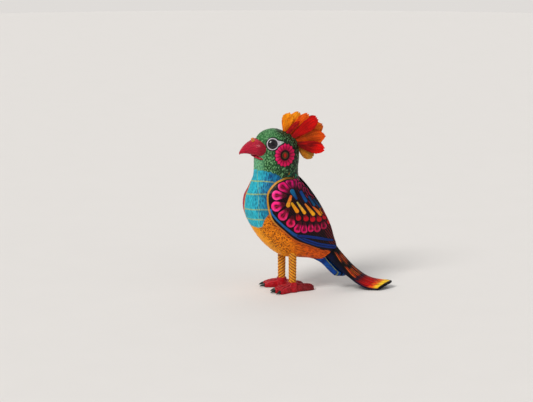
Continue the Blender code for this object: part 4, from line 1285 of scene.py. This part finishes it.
def make_wing(side, tree, materials):
    """A wing, drilled from its underside, with its two pegs."""
    name = side_name(side, "wing")
    body = side_name(side, "wing_set")
    top = wing_face(np.array([WING_ROOT]))[0]
    floor = max(top - WING_THICKNESS, body_surface(tree, *WING_ROOT) + WING_CLEARANCE)
    points, quads, tris = loft(wing_rings(tree), (top, *WING_ROOT), (floor, *WING_ROOT))
    paint = paint_wing(points)
    paint_wing_underside(paint)
    relief = paint.height + 0.12 * ripple(points, 6.0, 34)
    relief[(WING_RINGS + 2) * WING_COLUMNS : -2] = 0.0
    relief[-1] = 0.0
    points[:, 0] += relief
    points[:, 0] *= side
    piece = build(f"{name}_painted", points, quads, tris, materials["wing"], paint)
    holes = []
    for y, z in WING_PEGS:
        line = wing_peg_line(side, y, z, WING_HOLE_REACH, WING_PEG_IN_WING + GAP)
        holes.append(rod("peg_hole", *line, WING_PEG_RADIUS + GAP, materials["wood"]))
    cut(piece, *holes)
    ready(piece, body, name)
    for number, (y, z) in enumerate(WING_PEGS, start=1):
        line = wing_peg_line(side, y, z, WING_PEG_DEPTH, WING_PEG_IN_WING)
        make_peg(side_name(side, f"wing_peg_{number}"), body, line, WING_PEG_RADIUS, materials)


def body_surface(tree, y, z):
    """How far out the body's side stands at (y, z), or far in where there is no body."""
    hit = tree.ray_cast(Vector((80.0, y, z)), Vector((-1.0, 0.0, 0.0)))
    return hit[0].x if hit[0] is not None else -1e3


def make_peg(node, body, line, radius, materials):
    piece = rod(f"{node}_turned", *line, radius, materials["wood"], 40, chamfer=0.5)
    ready(piece, body, node)


# --- tail -------------------------------------------------------------------------------------------


def tail_grid(ridge, half_widths, drops, thicknesses, graduation, lanes, rows, columns):
    """A tail board's rings, each point's place on it (across, along, and across its own feather), and
    whether it is on top."""
    last = len(ridge) - 1
    u = np.linspace(-1.0, 1.0, columns + 1)
    lane = (u + 1.0) / 2.0 * lanes
    local = 2.0 * (lane - np.floor(np.minimum(lane, lanes - 1e-6))) - 1.0
    row = np.linspace(0.0, 1.0, rows + 1)
    scallop = 1.0 - 0.012 * local**2
    v = row[:, None] * (1.0 - graduation * np.abs(u) ** 1.3) * scallop
    flat = v.ravel()
    place = spline(ridge, flat * last)
    behind, ahead = np.maximum(0.0, flat - 0.02), np.minimum(1.0, flat + 0.02)
    run = spline(ridge, ahead * last) - spline(ridge, behind * last)
    run /= np.linalg.norm(run, axis=1, keepdims=True)
    up = np.column_stack((-run[:, 1], run[:, 0]))
    across = np.tile(u, rows + 1)
    x = three_way(half_widths, flat) * across
    thickness = three_way(thicknesses, flat)
    centre = place - up * (three_way(drops, flat) * np.abs(across) ** 1.7)[:, None]
    edge = np.maximum(np.clip((np.abs(across) - 0.95) / 0.05, 0.0, 1.0),
                      np.clip((np.repeat(row, columns + 1) - 0.985) / 0.015, 0.0, 1.0))
    pinch = 0.5 * thickness * (1.0 - np.sqrt(np.maximum(1.0 - edge**2, 0.06)))
    shape = np.tile(local, rows + 1)
    carving = 0.35 * (1.0 - shape**2) - 0.5 * smooth(0.86, 1.0, np.abs(shape))
    carving += 0.3 * smooth(0.12, 0.0, np.abs(shape))
    carving *= smooth(0.03, 0.12, flat) * (1.0 - edge)
    top = centre + up * (carving - pinch)[:, None]
    under = centre - up * (thickness - pinch)[:, None]
    upper = np.column_stack((x, top)).reshape(rows + 1, columns + 1, 3)
    lower = np.column_stack((x, under)).reshape(rows + 1, columns + 1, 3)
    rings = np.concatenate((upper, lower[:, ::-1]), axis=1)
    coordinates = np.stack((across, flat, shape), axis=1).reshape(rows + 1, columns + 1, 3)
    coordinates = np.concatenate((coordinates, coordinates[:, ::-1]), axis=1)
    on_top = np.zeros((rows + 1, 2 * (columns + 1)), bool)
    on_top[:, : columns + 1] = True
    return rings, coordinates.reshape(-1, 3), on_top.ravel()


def end_faces(rows, columns):
    """Quads that close a board's two ends, each between its upper and its lower edge."""
    ring = 2 * (columns + 1)
    k = np.arange(columns)
    root = np.stack((k + 1, k, ring - 1 - k, ring - 2 - k), axis=1)
    tip = root[:, ::-1] + rows * ring
    return np.concatenate((root, tip))


def paint_tail(points, places, on_top):
    """Long black feathers with orange streaks, and red ends tipped with yellow."""
    paint = Paint(points, "#08060a")
    u, v, local = places.T
    row = v / tail_reach(u)
    rim = ~on_top | (np.abs(u) > 0.985)
    flow = mottle(np.column_stack((u * 26.0, v * 14.0)), 3.0, 41)
    paint.lay(rim.astype(float), between("#030206", "#071a46", flow))
    top = on_top & (np.abs(u) <= 0.985)
    quill = np.abs(local)
    streak_lines = smooth(-0.1, 0.6, np.sin(u * 54.0 + v * 9.0 + 0.6 * np.sin(v * 40.0)))
    lane = np.floor((u + 1.0) / 2.0 * TAIL_LANES)
    shift = 0.02 * np.sin(lane * 2.3)
    outer = smooth(0.26, 0.36, np.abs(u))
    for low, high in TAIL_STREAKS:
        leaf = smooth(low, low + 0.05, row + shift) * smooth(high, high - 0.05, row + shift)
        leaf *= inside((quill - 0.7) * 3.0, 0.4)
        tint = between("#ee701c", "#c42e10", 0.5 + 0.5 * np.sin(u * 31.0 + 1.0))
        tint = towards(tint, "#f4a632", 0.7 * smooth(0.45, 0.7, local) * streak_lines)
        strength = leaf * np.maximum(streak_lines, 0.12) * (0.45 + 0.55 * outer)
        paint.lay(strength * top, tint, 0.25)
    purple = smooth(0.55, 0.58, row) * smooth(0.66, 0.62, row)
    paint.lay(purple * 0.8 * top, "#1e0a30")
    feather = inside((quill - 0.9) * 3.0, 0.25) * top
    red = smooth(0.6, 0.64, row + 0.02 * np.sin(u * 40.0)) * smooth(0.97, 0.955, row)
    lines = 0.5 + 0.5 * np.sin(u * 60.0 + v * 6.0)
    paint.lay(red * feather, between("#7a0410", "#dc1a0e", lines * smooth(0.6, 0.76, row)), 0.25)
    tip = smooth(0.85, 0.89, row + 0.07 * quill) * smooth(0.972, 0.955, row)
    paint.lay(tip * feather, between("#e0641a", "#f2cc34", smooth(0.87, 0.93, row)), 0.3)
    paint.add_flecks(EVERYWHERE, "#2a1210", 0.2, (1.2, 4.0, 1.2))
    return paint


def tail_reach(u):
    return 1.0 - TAIL_GRADUATION * np.abs(u) ** 1.3


def paint_under_tail(points, places, _):
    """Blue feathers with black outlines and a yellow line along each."""
    paint = Paint(points, "#0c2f7c")
    u, v, local = places.T
    flow = mottle(np.column_stack((u * 20.0, v * 9.0)), 3.0, 42)
    paint.cover(between("#0a2468", "#1257a4", flow))
    paint.lay(smooth(0.6, 0.86, np.abs(local)), "#04050e", 0.0)
    side = np.abs(u)
    paint.lay(smooth(0.95, 0.975, side), between("#0a3a80", "#1a5ca6", flow), 0.0)
    paint.lay(smooth(0.84, 0.87, side) * smooth(0.95, 0.92, side) * smooth(0.9, 0.7, v), "#b0b44a", 0.15)
    paint.lay(inside((np.abs(local - 0.3) - 0.1) * 4.0, 0.3) * 0.7, "#2f7fb8", 0.1)
    paint.add_flecks(EVERYWHERE, "#061536", 0.4, (1.2, 4.0, 1.2))
    return paint


def make_tail(node, board, lanes, painter, peg, materials, gauge):
    """A tail board, cut back to the body and drilled, with its peg."""
    rows, columns = TAIL_GRID
    rings, places, on_top = tail_grid(*board, lanes, rows, columns)
    points, quads, _ = loft(rings)
    quads = np.concatenate((quads, end_faces(rows, columns)))
    paint = painter(points, places, on_top)
    points = points + np.array((0.0, 0.45, 0.75)) * (paint.height * on_top * 0.5)[:, None]
    no_tris = np.zeros((0, 3), int)
    piece = build(f"{node}_painted", points, quads, no_tris, materials["tail"], paint)
    middle, pull, radius, into_body, into_blade = peg
    middle, pull = np.array(middle), np.array(pull)
    outside, floor = middle - pull * TAIL_HOLE_REACH, middle + pull * (into_blade + GAP)
    socket = rod("tail_peg_hole", outside, floor, radius + GAP, materials["wood"])
    cut(piece, linked_copy(gauge), socket)
    body = f"{node}_set"
    ready(piece, body, node)
    line = (middle - pull * into_body, middle + pull * into_blade)
    make_peg(f"{node}_peg", body, line, radius, materials)


# --- crest ------------------------------------------------------------------------------------------


def crest_frame():
    """The middle of the plug's face, the way along its mouth, the way it pulls out, and its length."""
    first, second = (np.array((0.0, *p)) for p in CREST_MOUTH)
    along = unit(second - first)
    out = np.array((0.0, -along[2], along[1]))
    return (first + second) / 2.0, along, out, np.linalg.norm(second - first)


def crest_slot(wood):
    """A tool for the slot that the crest's plug sits in."""
    middle, along, out, length = crest_frame()
    half = np.array((CREST_PLUG_WIDTH / 2.0 + GAP, 0.0, 0.0))
    run = along * (length / 2.0 + GAP)
    rings = []
    for level in (middle - out * (CREST_PLUG_DEPTH + GAP), middle + out * CREST_BLOCK_RISE):
        rings.append((level - half - run, level + half - run, level + half + run, level - half + run))
    rings = np.array(rings)
    return build("crest_slot", *loft(rings, rings[0].mean(axis=0), rings[1].mean(axis=0)), wood)


# Paint at the root, the middle and the tip of each feather, and the paint of its odd strands.
ORANGE_TINTS = (
    ("#e8781a", "#f08c0e", "#f6a01e", "#fbc03a"),
    ("#f0641a", "#f5920e", "#f7a524", "#e8641a"),
    ("#d8400c", "#f06414", "#e86a1c", "#f59a1c"),
    ("#e0561a", "#cc6410", "#d8701a", "#f0a024"),
    ("#b8400a", "#c25408", "#e05a0c", "#f08a1c"),
    ("#b8641a", "#cc8020", "#bc8838", "#e8a83c"),
)
RED_TINTS = (
    ("#c01a34", "#a00d14", "#c0240c", "#e04a14"),
    ("#a00614", "#b80806", "#d81410", "#8a040c"),
    ("#6e0208", "#8e0305", "#dc0d08", "#c83a10"),
)


def feather_rings(root, end, width, seed):
    """Rings of a thin slip with a raised quill and fine barbs, narrow at its root and ragged at its
    tip, with each point's place across it, -1 to 1, and along it."""
    run = end - root
    across = unit((0.0, -run[2], run[1]))
    normal = unit(np.cross(run, across))
    f = np.linspace(0.0, FEATHER_RUN, FEATHER_ROWS)
    swell = np.sin(0.5 * math.pi * np.minimum(1.0, f / 0.72)) ** 1.3
    half = FEATHER_ROOT_WIDTH / 2.0 + (width - FEATHER_ROOT_WIDTH) / 2.0 * swell
    ending = np.clip((f - FEATHER_SHOULDER) / (1.0 - FEATHER_SHOULDER), 0.0, 1.0)
    half *= (1.0 - ending**2.2) ** 0.7 * 0.93 + 0.07
    notches = 1.0 + 0.035 * np.sin(f * 47.0 + seed) * smooth(0.45, 0.7, f)
    half = np.maximum(half * notches, 0.25)
    thick = FEATHER_THICKNESS / 2.0 * (1.0 - 0.35 * f)
    cosine, sine = circle(FEATHER_COLUMNS)
    wide = np.sign(cosine) * np.abs(cosine) ** 0.9
    lens = np.sign(sine) * np.abs(sine) ** 0.8
    w, g = np.tile(wide, (len(f), 1)), np.repeat(f[:, None], FEATHER_COLUMNS, axis=1)
    barbs = np.sin((g * 30.0 - np.abs(w) * 5.0) * 2.0 * math.pi)
    carving = 0.1 * barbs * smooth(0.1, 0.4, g) + 0.22 * smooth(0.14, 0.0, np.abs(w))
    rise = lens * (thick[:, None] + carving)
    teeth = np.abs((w * FEATHER_TEETH / 2.0 + 0.37 * seed) % 1.0 - 0.5) * 2.0 - 0.5
    teeth += 0.5 * np.sin(w * 4.0 + seed * 1.7)
    ragged = FEATHER_RAGGED * teeth * smooth(0.45, 1.0, g)
    rings = (
        (root + run * f[:, None])[:, None, :]
        + unit(run) * ragged[..., None]
        + across * (wide * half[:, None])[..., None]
        + normal * rise[..., None]
    )
    return rings, np.append(w.ravel(), (0.0, 0.0)), np.append(g.ravel(), (0.0, 1.0))


def paint_feather(points, w, g, tints, seed):
    """Streaked paint. w is each point's place across the feather, -1 to 1, and g its place along it."""
    root, middle, tip, strand = (colour(tint) for tint in tints)
    edge = np.abs(w)
    paint = Paint(points, middle)
    paint.lay(smooth(0.45, 0.1, g), root)
    paint.lay(smooth(0.55, 0.95, g), tip)
    streaks = ripple(np.column_stack((w * 9.0 / (0.4 + g), g * 5.0)), 3.0, 50 + seed)
    paint.lay(smooth(0.1, 0.9, streaks) * 0.45, root * 0.6)
    paint.lay(smooth(0.1, 0.9, -streaks) * 0.35, np.minimum(tip * 1.3 + (0.02, 0.01, 0.0), 1.0))
    quill = smooth(0.14, 0.0, edge)
    quill[-2:] = 0.0
    paint.lay(quill * smooth(0.9, 0.6, g) * 0.35, root * 0.5)
    paint.lay(smooth(0.8, 1.0, edge) * smooth(0.2, 0.5, g) * 0.3, root * 0.7)
    strands = smooth(0.55, 1.0, ripple(np.column_stack((w * 14.0, g * 4.0)), 3.0, 80 + seed))
    paint.lay(strands * smooth(0.25, 0.6, g) * 0.55, strand)
    return paint


def make_feather(node, feather, root_x, tip_x, tints, seed, materials):
    """A feather from the plug's face at root_x to its tip at tip_x."""
    place, tip, width = feather
    middle, along, _, length = crest_frame()
    root = middle + along * length * (place - 0.5)
    root[0] = root_x
    end = np.array((tip_x, *tip))
    root -= unit(end - root) * FEATHER_IN_PLUG
    rings, w, g = feather_rings(root, end, width, seed)
    spine_end = root + (end - root) * FEATHER_RUN + unit(end - root) * 0.3
    points, quads, tris = loft(rings, root, spine_end)
    paint = paint_feather(points, w, g, tints, seed)
    piece = build(f"{node}_carved", points, quads, tris, materials["crest"], paint)
    ready(piece, "crest", node)


def make_crest(materials):
    """The feathers, and paint for the two solids that are used as they are."""
    for seed, (feather, tints) in enumerate(zip(ORANGE_FEATHERS, ORANGE_TINTS), start=1):
        x = ORANGE_LAYER_X if seed % 2 else -ORANGE_LAYER_X
        node = f"crest_feather_orange_{seed}"
        make_feather(node, feather, x, x, tints, seed, materials)
    for side in (1, -1):
        root_x, tip_x = side * RED_LAYER_X, side * (RED_LAYER_X + RED_LAYER_SPLAY)
        for seed, (feather, tints) in enumerate(zip(RED_FEATHERS, RED_TINTS), start=1):
            node = side_name(side, f"crest_feather_red_{seed}")
            make_feather(node, feather, root_x, tip_x, tints, seed, materials)
    for node, material in (("crest_plug", "plug"), ("beak_peg", "wood")):
        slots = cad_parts[node].data.materials
        slots.clear()
        slots.append(materials[material])


# --- legs and feet ----------------------------------------------------------------------------------


def leg_place(side):
    return np.array((side * LEG_X, side * LEG_STEP, 0.0))


def make_leg(side, materials):
    """A post carved like twisted rope, with painted shade in its grooves."""
    z = np.linspace(LEG_BOTTOM, LEG_TOP, LEG_ROWS)
    angles = 2.0 * math.pi * np.arange(LEG_COLUMNS) / LEG_COLUMNS
    level, angle = np.meshgrid(z, angles, indexing="ij")
    phase = STRANDS * angle * side + 2.0 * math.pi * level / STRAND_HEIGHT
    share = (level - LEG_BOTTOM) / (LEG_TOP - LEG_BOTTOM)
    crest = np.abs(np.cos(phase / 2.0)) ** 0.7
    radius = LEG_RADIUS[0] + (LEG_RADIUS[1] - LEG_RADIUS[0]) * share - STRAND_DEPTH * (1.0 - crest)
    foot = leg_place(side)
    rings = np.stack((foot[0] + radius * np.cos(angle), foot[1] + radius * np.sin(angle), level), axis=2)
    points, quads, tris = loft(rings, foot + (0.0, 0.0, LEG_BOTTOM), foot + (0.0, 0.0, LEG_TOP))
    crest = np.append(crest.ravel(), (1.0, 1.0))
    paint = Paint(points, "#e09a28")
    uneven = mottle(points * (1.0, 1.0, 0.5), 4.0, 61)
    paint.cover(between("#dc8c22", "#eeb038", uneven))
    # painted shade: the grooves between the strands darken, most at their bottoms
    paint.lay(smooth(0.72, 0.35, crest + 0.08 * ripple(points, 2.0, 62)), "#8c3a12")
    paint.lay(smooth(0.4, 0.12, crest), "#4e1a0c")
    paint.add_flecks(EVERYWHERE, "#b8641a", 0.35, (1.2, 1.2, 1.2))
    name = side_name(side, "leg")
    piece = build(f"{name}_rope", points, quads, tris, materials["leg"], paint)
    ready(piece, "carving", name)


def toe_headings(side):
    """The bearing and the length of each toe."""
    for which, degrees, length in TOES:
        angle = math.radians(side * (TOE_OUT + degrees))
        yield which, np.array((math.sin(angle), -math.cos(angle), 0.0)), length


def make_foot(side, materials):
    """The foot's own solid, softened as by sandpaper, with carved lines along its toes."""
    name = side_name(side, "foot")
    piece = add_object(f"{name}_carved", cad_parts[name].data.copy())
    remesh = piece.modifiers.new("even", "REMESH")
    remesh.mode = "VOXEL"
    remesh.voxel_size = FOOT_VOXEL * MM
    soften = piece.modifiers.new("soften", "SMOOTH")
    soften.factor = 0.5
    soften.iterations = FOOT_SMOOTHING
    apply_modifiers(piece)
    mesh = piece.data
    for attribute in [a for a in mesh.attributes if a.name in ("paint", "fleck", "fleck_place")]:
        mesh.attributes.remove(attribute)
    count = len(mesh.vertices)
    placed = np.empty(count * 3)
    mesh.vertices.foreach_get("co", placed)
    points = placed.reshape(-1, 3) / MM
    points[:, 1] -= FLOOR_TO_FRAME_Y
    normals = np.empty(count * 3)
    mesh.vertices.foreach_get("normal", normals)
    normals = normals.reshape(-1, 3)
    paint = paint_foot(points, side)
    upper = smooth(0.3, 0.8, points[:, 2])
    points += normals * (paint.height * upper + 0.1 * ripple(points, 5.0, 71) * upper)[:, None]
    mesh.vertices.foreach_set("co", to_frame(points).ravel())
    corners = np.empty(len(mesh.loops), int)
    mesh.loops.foreach_get("vertex_index", corners)
    lay_on(mesh, paint, corners)
    mesh.materials.clear()
    mesh.materials.append(materials["foot"])
    mesh.update()
    ready(piece, "carving", name)


def paint_foot(points, side):
    """Red, with dark lines along each toe and a painted highlight beside each, painted shade on the back
    toe, and painted shade near the floor.
    """
    paint = Paint(points, "#b3162a")
    ankle = leg_place(side)
    uneven = mottle(points, 7.0, 72)
    paint.cover(between("#a00c1e", "#bc1224", uneven))
    for which, heading, length in toe_headings(side):
        offset = points - ankle
        forward = offset @ heading
        lateral = offset @ np.array((-heading[1], heading[0], 0.0))
        own = smooth(3.0, 7.0, forward) * smooth(6.0, 5.0, np.abs(lateral))
        if which == "back":
            # painted shade: the back toe, under the body, is darker
            paint.lay(smooth(4.0, 14.0, forward) * 0.85, "#6e0610")
        for line in TOE_GROOVES:
            groove = inside(np.abs(lateral - line * (1.0 - 0.012 * forward)) - 0.35, 0.3) * own
            paint.lay(groove * smooth(length, length - 4.0, forward), "#6a0814", -0.3)
            # painted highlight: a lighter line beside each groove, weaker on the back toe, which lies in
            # painted shade
            light = inside(np.abs(lateral - line * (1.0 - 0.012 * forward) - 0.8) - 0.3, 0.3) * own
            strength = 0.2 if which == "back" else 0.6
            paint.lay(light * smooth(length, length - 4.0, forward) * strength, "#d8525f", 0.1)
    # painted shade near the floor: the foot darkens towards its sole
    paint.lay(smooth(2.2, 0.2, points[:, 2]) * 0.5, "#5a0610")
    paint.add_flecks(EVERYWHERE, "#e0606a", 0.16, (1.2, 5.0, 1.2))
    return paint


def make_claws(side, materials):
    """A hooked claw on each toe that points forward, with painted shade at its root and a painted
    highlight towards its tip.
    """
    ankle = leg_place(side)
    for which, heading, length in toe_headings(side):
        if which == "back":
            continue
        f = np.linspace(0.0, 0.96, CLAW_ROWS)
        across = np.array((-heading[1], heading[0], 0.0)) * 0.8
        cosine, sine = circle(CLAW_COLUMNS)
        spokes = cosine[:, None] * across + sine[:, None] * np.array((0.0, 0.0, 1.0))
        radius = CLAW_RADIUS * (1.0 - f) ** 0.6
        centre = ankle + heading * (length + CLAW_LENGTH * f)[:, None]
        centre[:, 2] = CLAW_HEIGHT - CLAW_HOOK * f * f
        rings = centre[:, None, :] + spokes[None] * radius[:, None, None]
        tip = ankle + heading * (length + CLAW_LENGTH)
        tip[2] = CLAW_TIP_HEIGHT
        points, quads, tris = loft(rings, centre[0], tip)
        paint = Paint(points, "#17241e")
        # each point's share along the claw, which sets its painted shade and highlight
        wear_and_painted_light = np.append(np.repeat(f, CLAW_COLUMNS), (0.0, 1.0))
        # painted shade where the claw meets its toe
        paint.lay(smooth(0.1, 0.0, wear_and_painted_light), "#0a0a0a")
        # painted highlight towards the tip
        paint.lay(smooth(0.4, 1.0, wear_and_painted_light) * 0.6, "#2f4438")
        paint.add_flecks(EVERYWHERE, "#40584a", 0.3, (0.9, 3.0, 0.9))
        node = side_name(side, f"{which}_claw")
        piece = build(f"{node}_hooked", points, quads, tris, materials["claw"], paint)
        ready(piece, "carving", node)


# --- studio -----------------------------------------------------------------------------------------

CAMERA_AZIMUTH = 86.0
CAMERA_ELEVATION = 11.0
CAMERA_LENS = 135.0
CAMERA_SENSOR = 36.0
PICTURE_WIDTH = 0.742  # metres across the picture, at the figure's distance
CAMERA_ASIDE = -0.0285
CAMERA_UP = 0.1225
SKY_SEEN = (0.74, 0.715, 0.69, 1.0)  # behind the figure
SKY_FELT = (0.42, 0.42, 0.42, 1.0)  # as it lights the figure


def make_camera():
    azimuth, elevation = math.radians(CAMERA_AZIMUTH), math.radians(CAMERA_ELEVATION)
    back = Vector((
        math.sin(azimuth) * math.cos(elevation),
        -math.cos(azimuth) * math.cos(elevation),
        math.sin(elevation),
    ))
    right = Vector((math.cos(azimuth), math.sin(azimuth), 0.0))
    up = back.cross(right)
    data = bpy.data.cameras.new("camera")
    data.lens = CAMERA_LENS
    data.sensor_width = CAMERA_SENSOR
    camera = add_object("camera", data)
    distance = PICTURE_WIDTH * CAMERA_LENS / CAMERA_SENSOR
    ground = Vector((0.0, FLOOR_TO_FRAME_Y * MM, 0.0))
    camera.location = ground + back * distance + right * CAMERA_ASIDE + up * CAMERA_UP
    camera.rotation_euler = back.to_track_quat("Z", "Y").to_euler()
    bpy.context.scene.camera = camera


# Each light: its name, the direction it comes from, its strength, how wide its source looks in
# degrees, and its colour.
SUNS = (
    ("key", (0.75, -0.75, 0.95), 2.3, 22.0, (1.0, 0.985, 0.96)),
    ("fill", (0.7, 0.9, 0.5), 0.35, 60.0, (0.93, 0.96, 1.0)),
    ("back", (-0.9, 0.2, 0.9), 0.4, 60.0, (1.0, 1.0, 1.0)),
)
FLOOR_RADII = (1.0, 1500.0, 4000.0)


def make_sun(name, source, energy, softness, tint):
    data = bpy.data.lights.new(name, "SUN")
    data.energy = energy
    data.angle = math.radians(softness)
    data.color = tint
    light = add_object(name, data)
    light.location = source
    light.rotation_euler = Vector(source).to_track_quat("Z", "Y").to_euler()


def make_studio():
    for sun in SUNS:
        make_sun(*sun)
    world = bpy.data.worlds.new("studio")
    bpy.context.scene.world = world
    world.use_nodes = True
    tree = world.node_tree
    background = tree.nodes["Background"]
    path = add_node(tree, "ShaderNodeLightPath")
    tint = mix(tree, path.outputs["Is Camera Ray"], SKY_FELT, SKY_SEEN)
    tree.links.new(tint, background.inputs["Color"])
    made, tree, shader, place = start_material("floor_paper", 0.85, 0.0, 0.3, 0.1)
    cloud = noise(tree, place, 60.0, detail=3.0)
    base = mix(tree, cloud, (0.74, 0.715, 0.69, 1.0), (0.76, 0.735, 0.71, 1.0))
    finish_surface(tree, shader, base, ranged(tree, cloud, 0.3, 0.7, 0.8, 0.9), cloud, 0.02)
    profile = [(radius, 0.0) for radius in FLOOR_RADII]
    rings = turned_profile(profile, np.zeros(3), (0.0, 0.0, 1.0), 96)
    points, quads, tris = loft(rings, np.zeros(3))
    floor = build("floor", points, quads, tris, made)


def main():
    bpy.context.scene.view_settings.view_transform = "Standard"
    wood = raw_wood()
    materials = {
        "wood": wood,
        "body": painted("body_paint", 0.44, 0.08),
        "beak": painted("beak_paint", 0.42, 0.12, (1.5, 4.0, 1.0)),
        "bead": painted("bead_paint", 0.3, 0.4, (1.0, 1.0, 1.0)),
        "eye": glossy_black(),
        "wing": painted("wing_paint", 0.42, 0.08, (1.0, 1.0, 3.0)),
        "tail": painted("tail_paint", 0.42, 0.08, (1.0, 4.0, 2.0)),
        "crest": painted("crest_paint", 0.5, 0.04, (1.0, 2.0, 2.0)),
        "plug": painted("plug_paint", 0.45, 0.15, tint="#2a3c24"),
        "leg": painted("leg_paint", 0.42, 0.15, (1.0, 1.0, 1.0)),
        "foot": painted("foot_paint", 0.38, 0.2, (1.0, 3.0, 1.0)),
        "claw": painted("claw_paint", 0.25, 0.5, (1.0, 3.0, 1.0)),
    }
    tree = make_body(materials)
    rings, _, tail_end, crown = body_shell(GAUGE_ROWS, GAUGE_COLUMNS, GAP)
    gauge = build("gauge", *loft(rings, tail_end, crown), wood)
    upper, lower = BEAK_WIDTHS
    make_beak_half("upper_beak", UPPER_BEAK_STATIONS, UPPER_BEAK_TIP, upper, materials, gauge)
    make_beak_half("lower_beak", LOWER_BEAK_STATIONS, LOWER_BEAK_TIP, lower, materials, gauge)
    board = (TAIL_RIDGE, TAIL_HALF_WIDTH, TAIL_DROP, TAIL_THICKNESS, TAIL_GRADUATION)
    make_tail("upper_tail", board, TAIL_LANES, paint_tail, TAIL_PEG, materials, gauge)
    board = (UNDER_TAIL_RIDGE, UNDER_TAIL_HALF_WIDTH, UNDER_TAIL_DROP, UNDER_TAIL_THICKNESS,
             UNDER_TAIL_GRADUATION)
    make_tail("under_tail", board, UNDER_TAIL_LANES, paint_under_tail, UNDER_TAIL_PEG,
              materials, gauge)
    bpy.data.objects.remove(gauge)
    make_crest(materials)
    for side in (1, -1):
        make_eye(side, materials)
        make_nostril(side, materials)
        make_wing(side, tree, materials)
        make_leg(side, materials)
        make_foot(side, materials)
        make_claws(side, materials)
    make_camera()
    make_studio()


main()
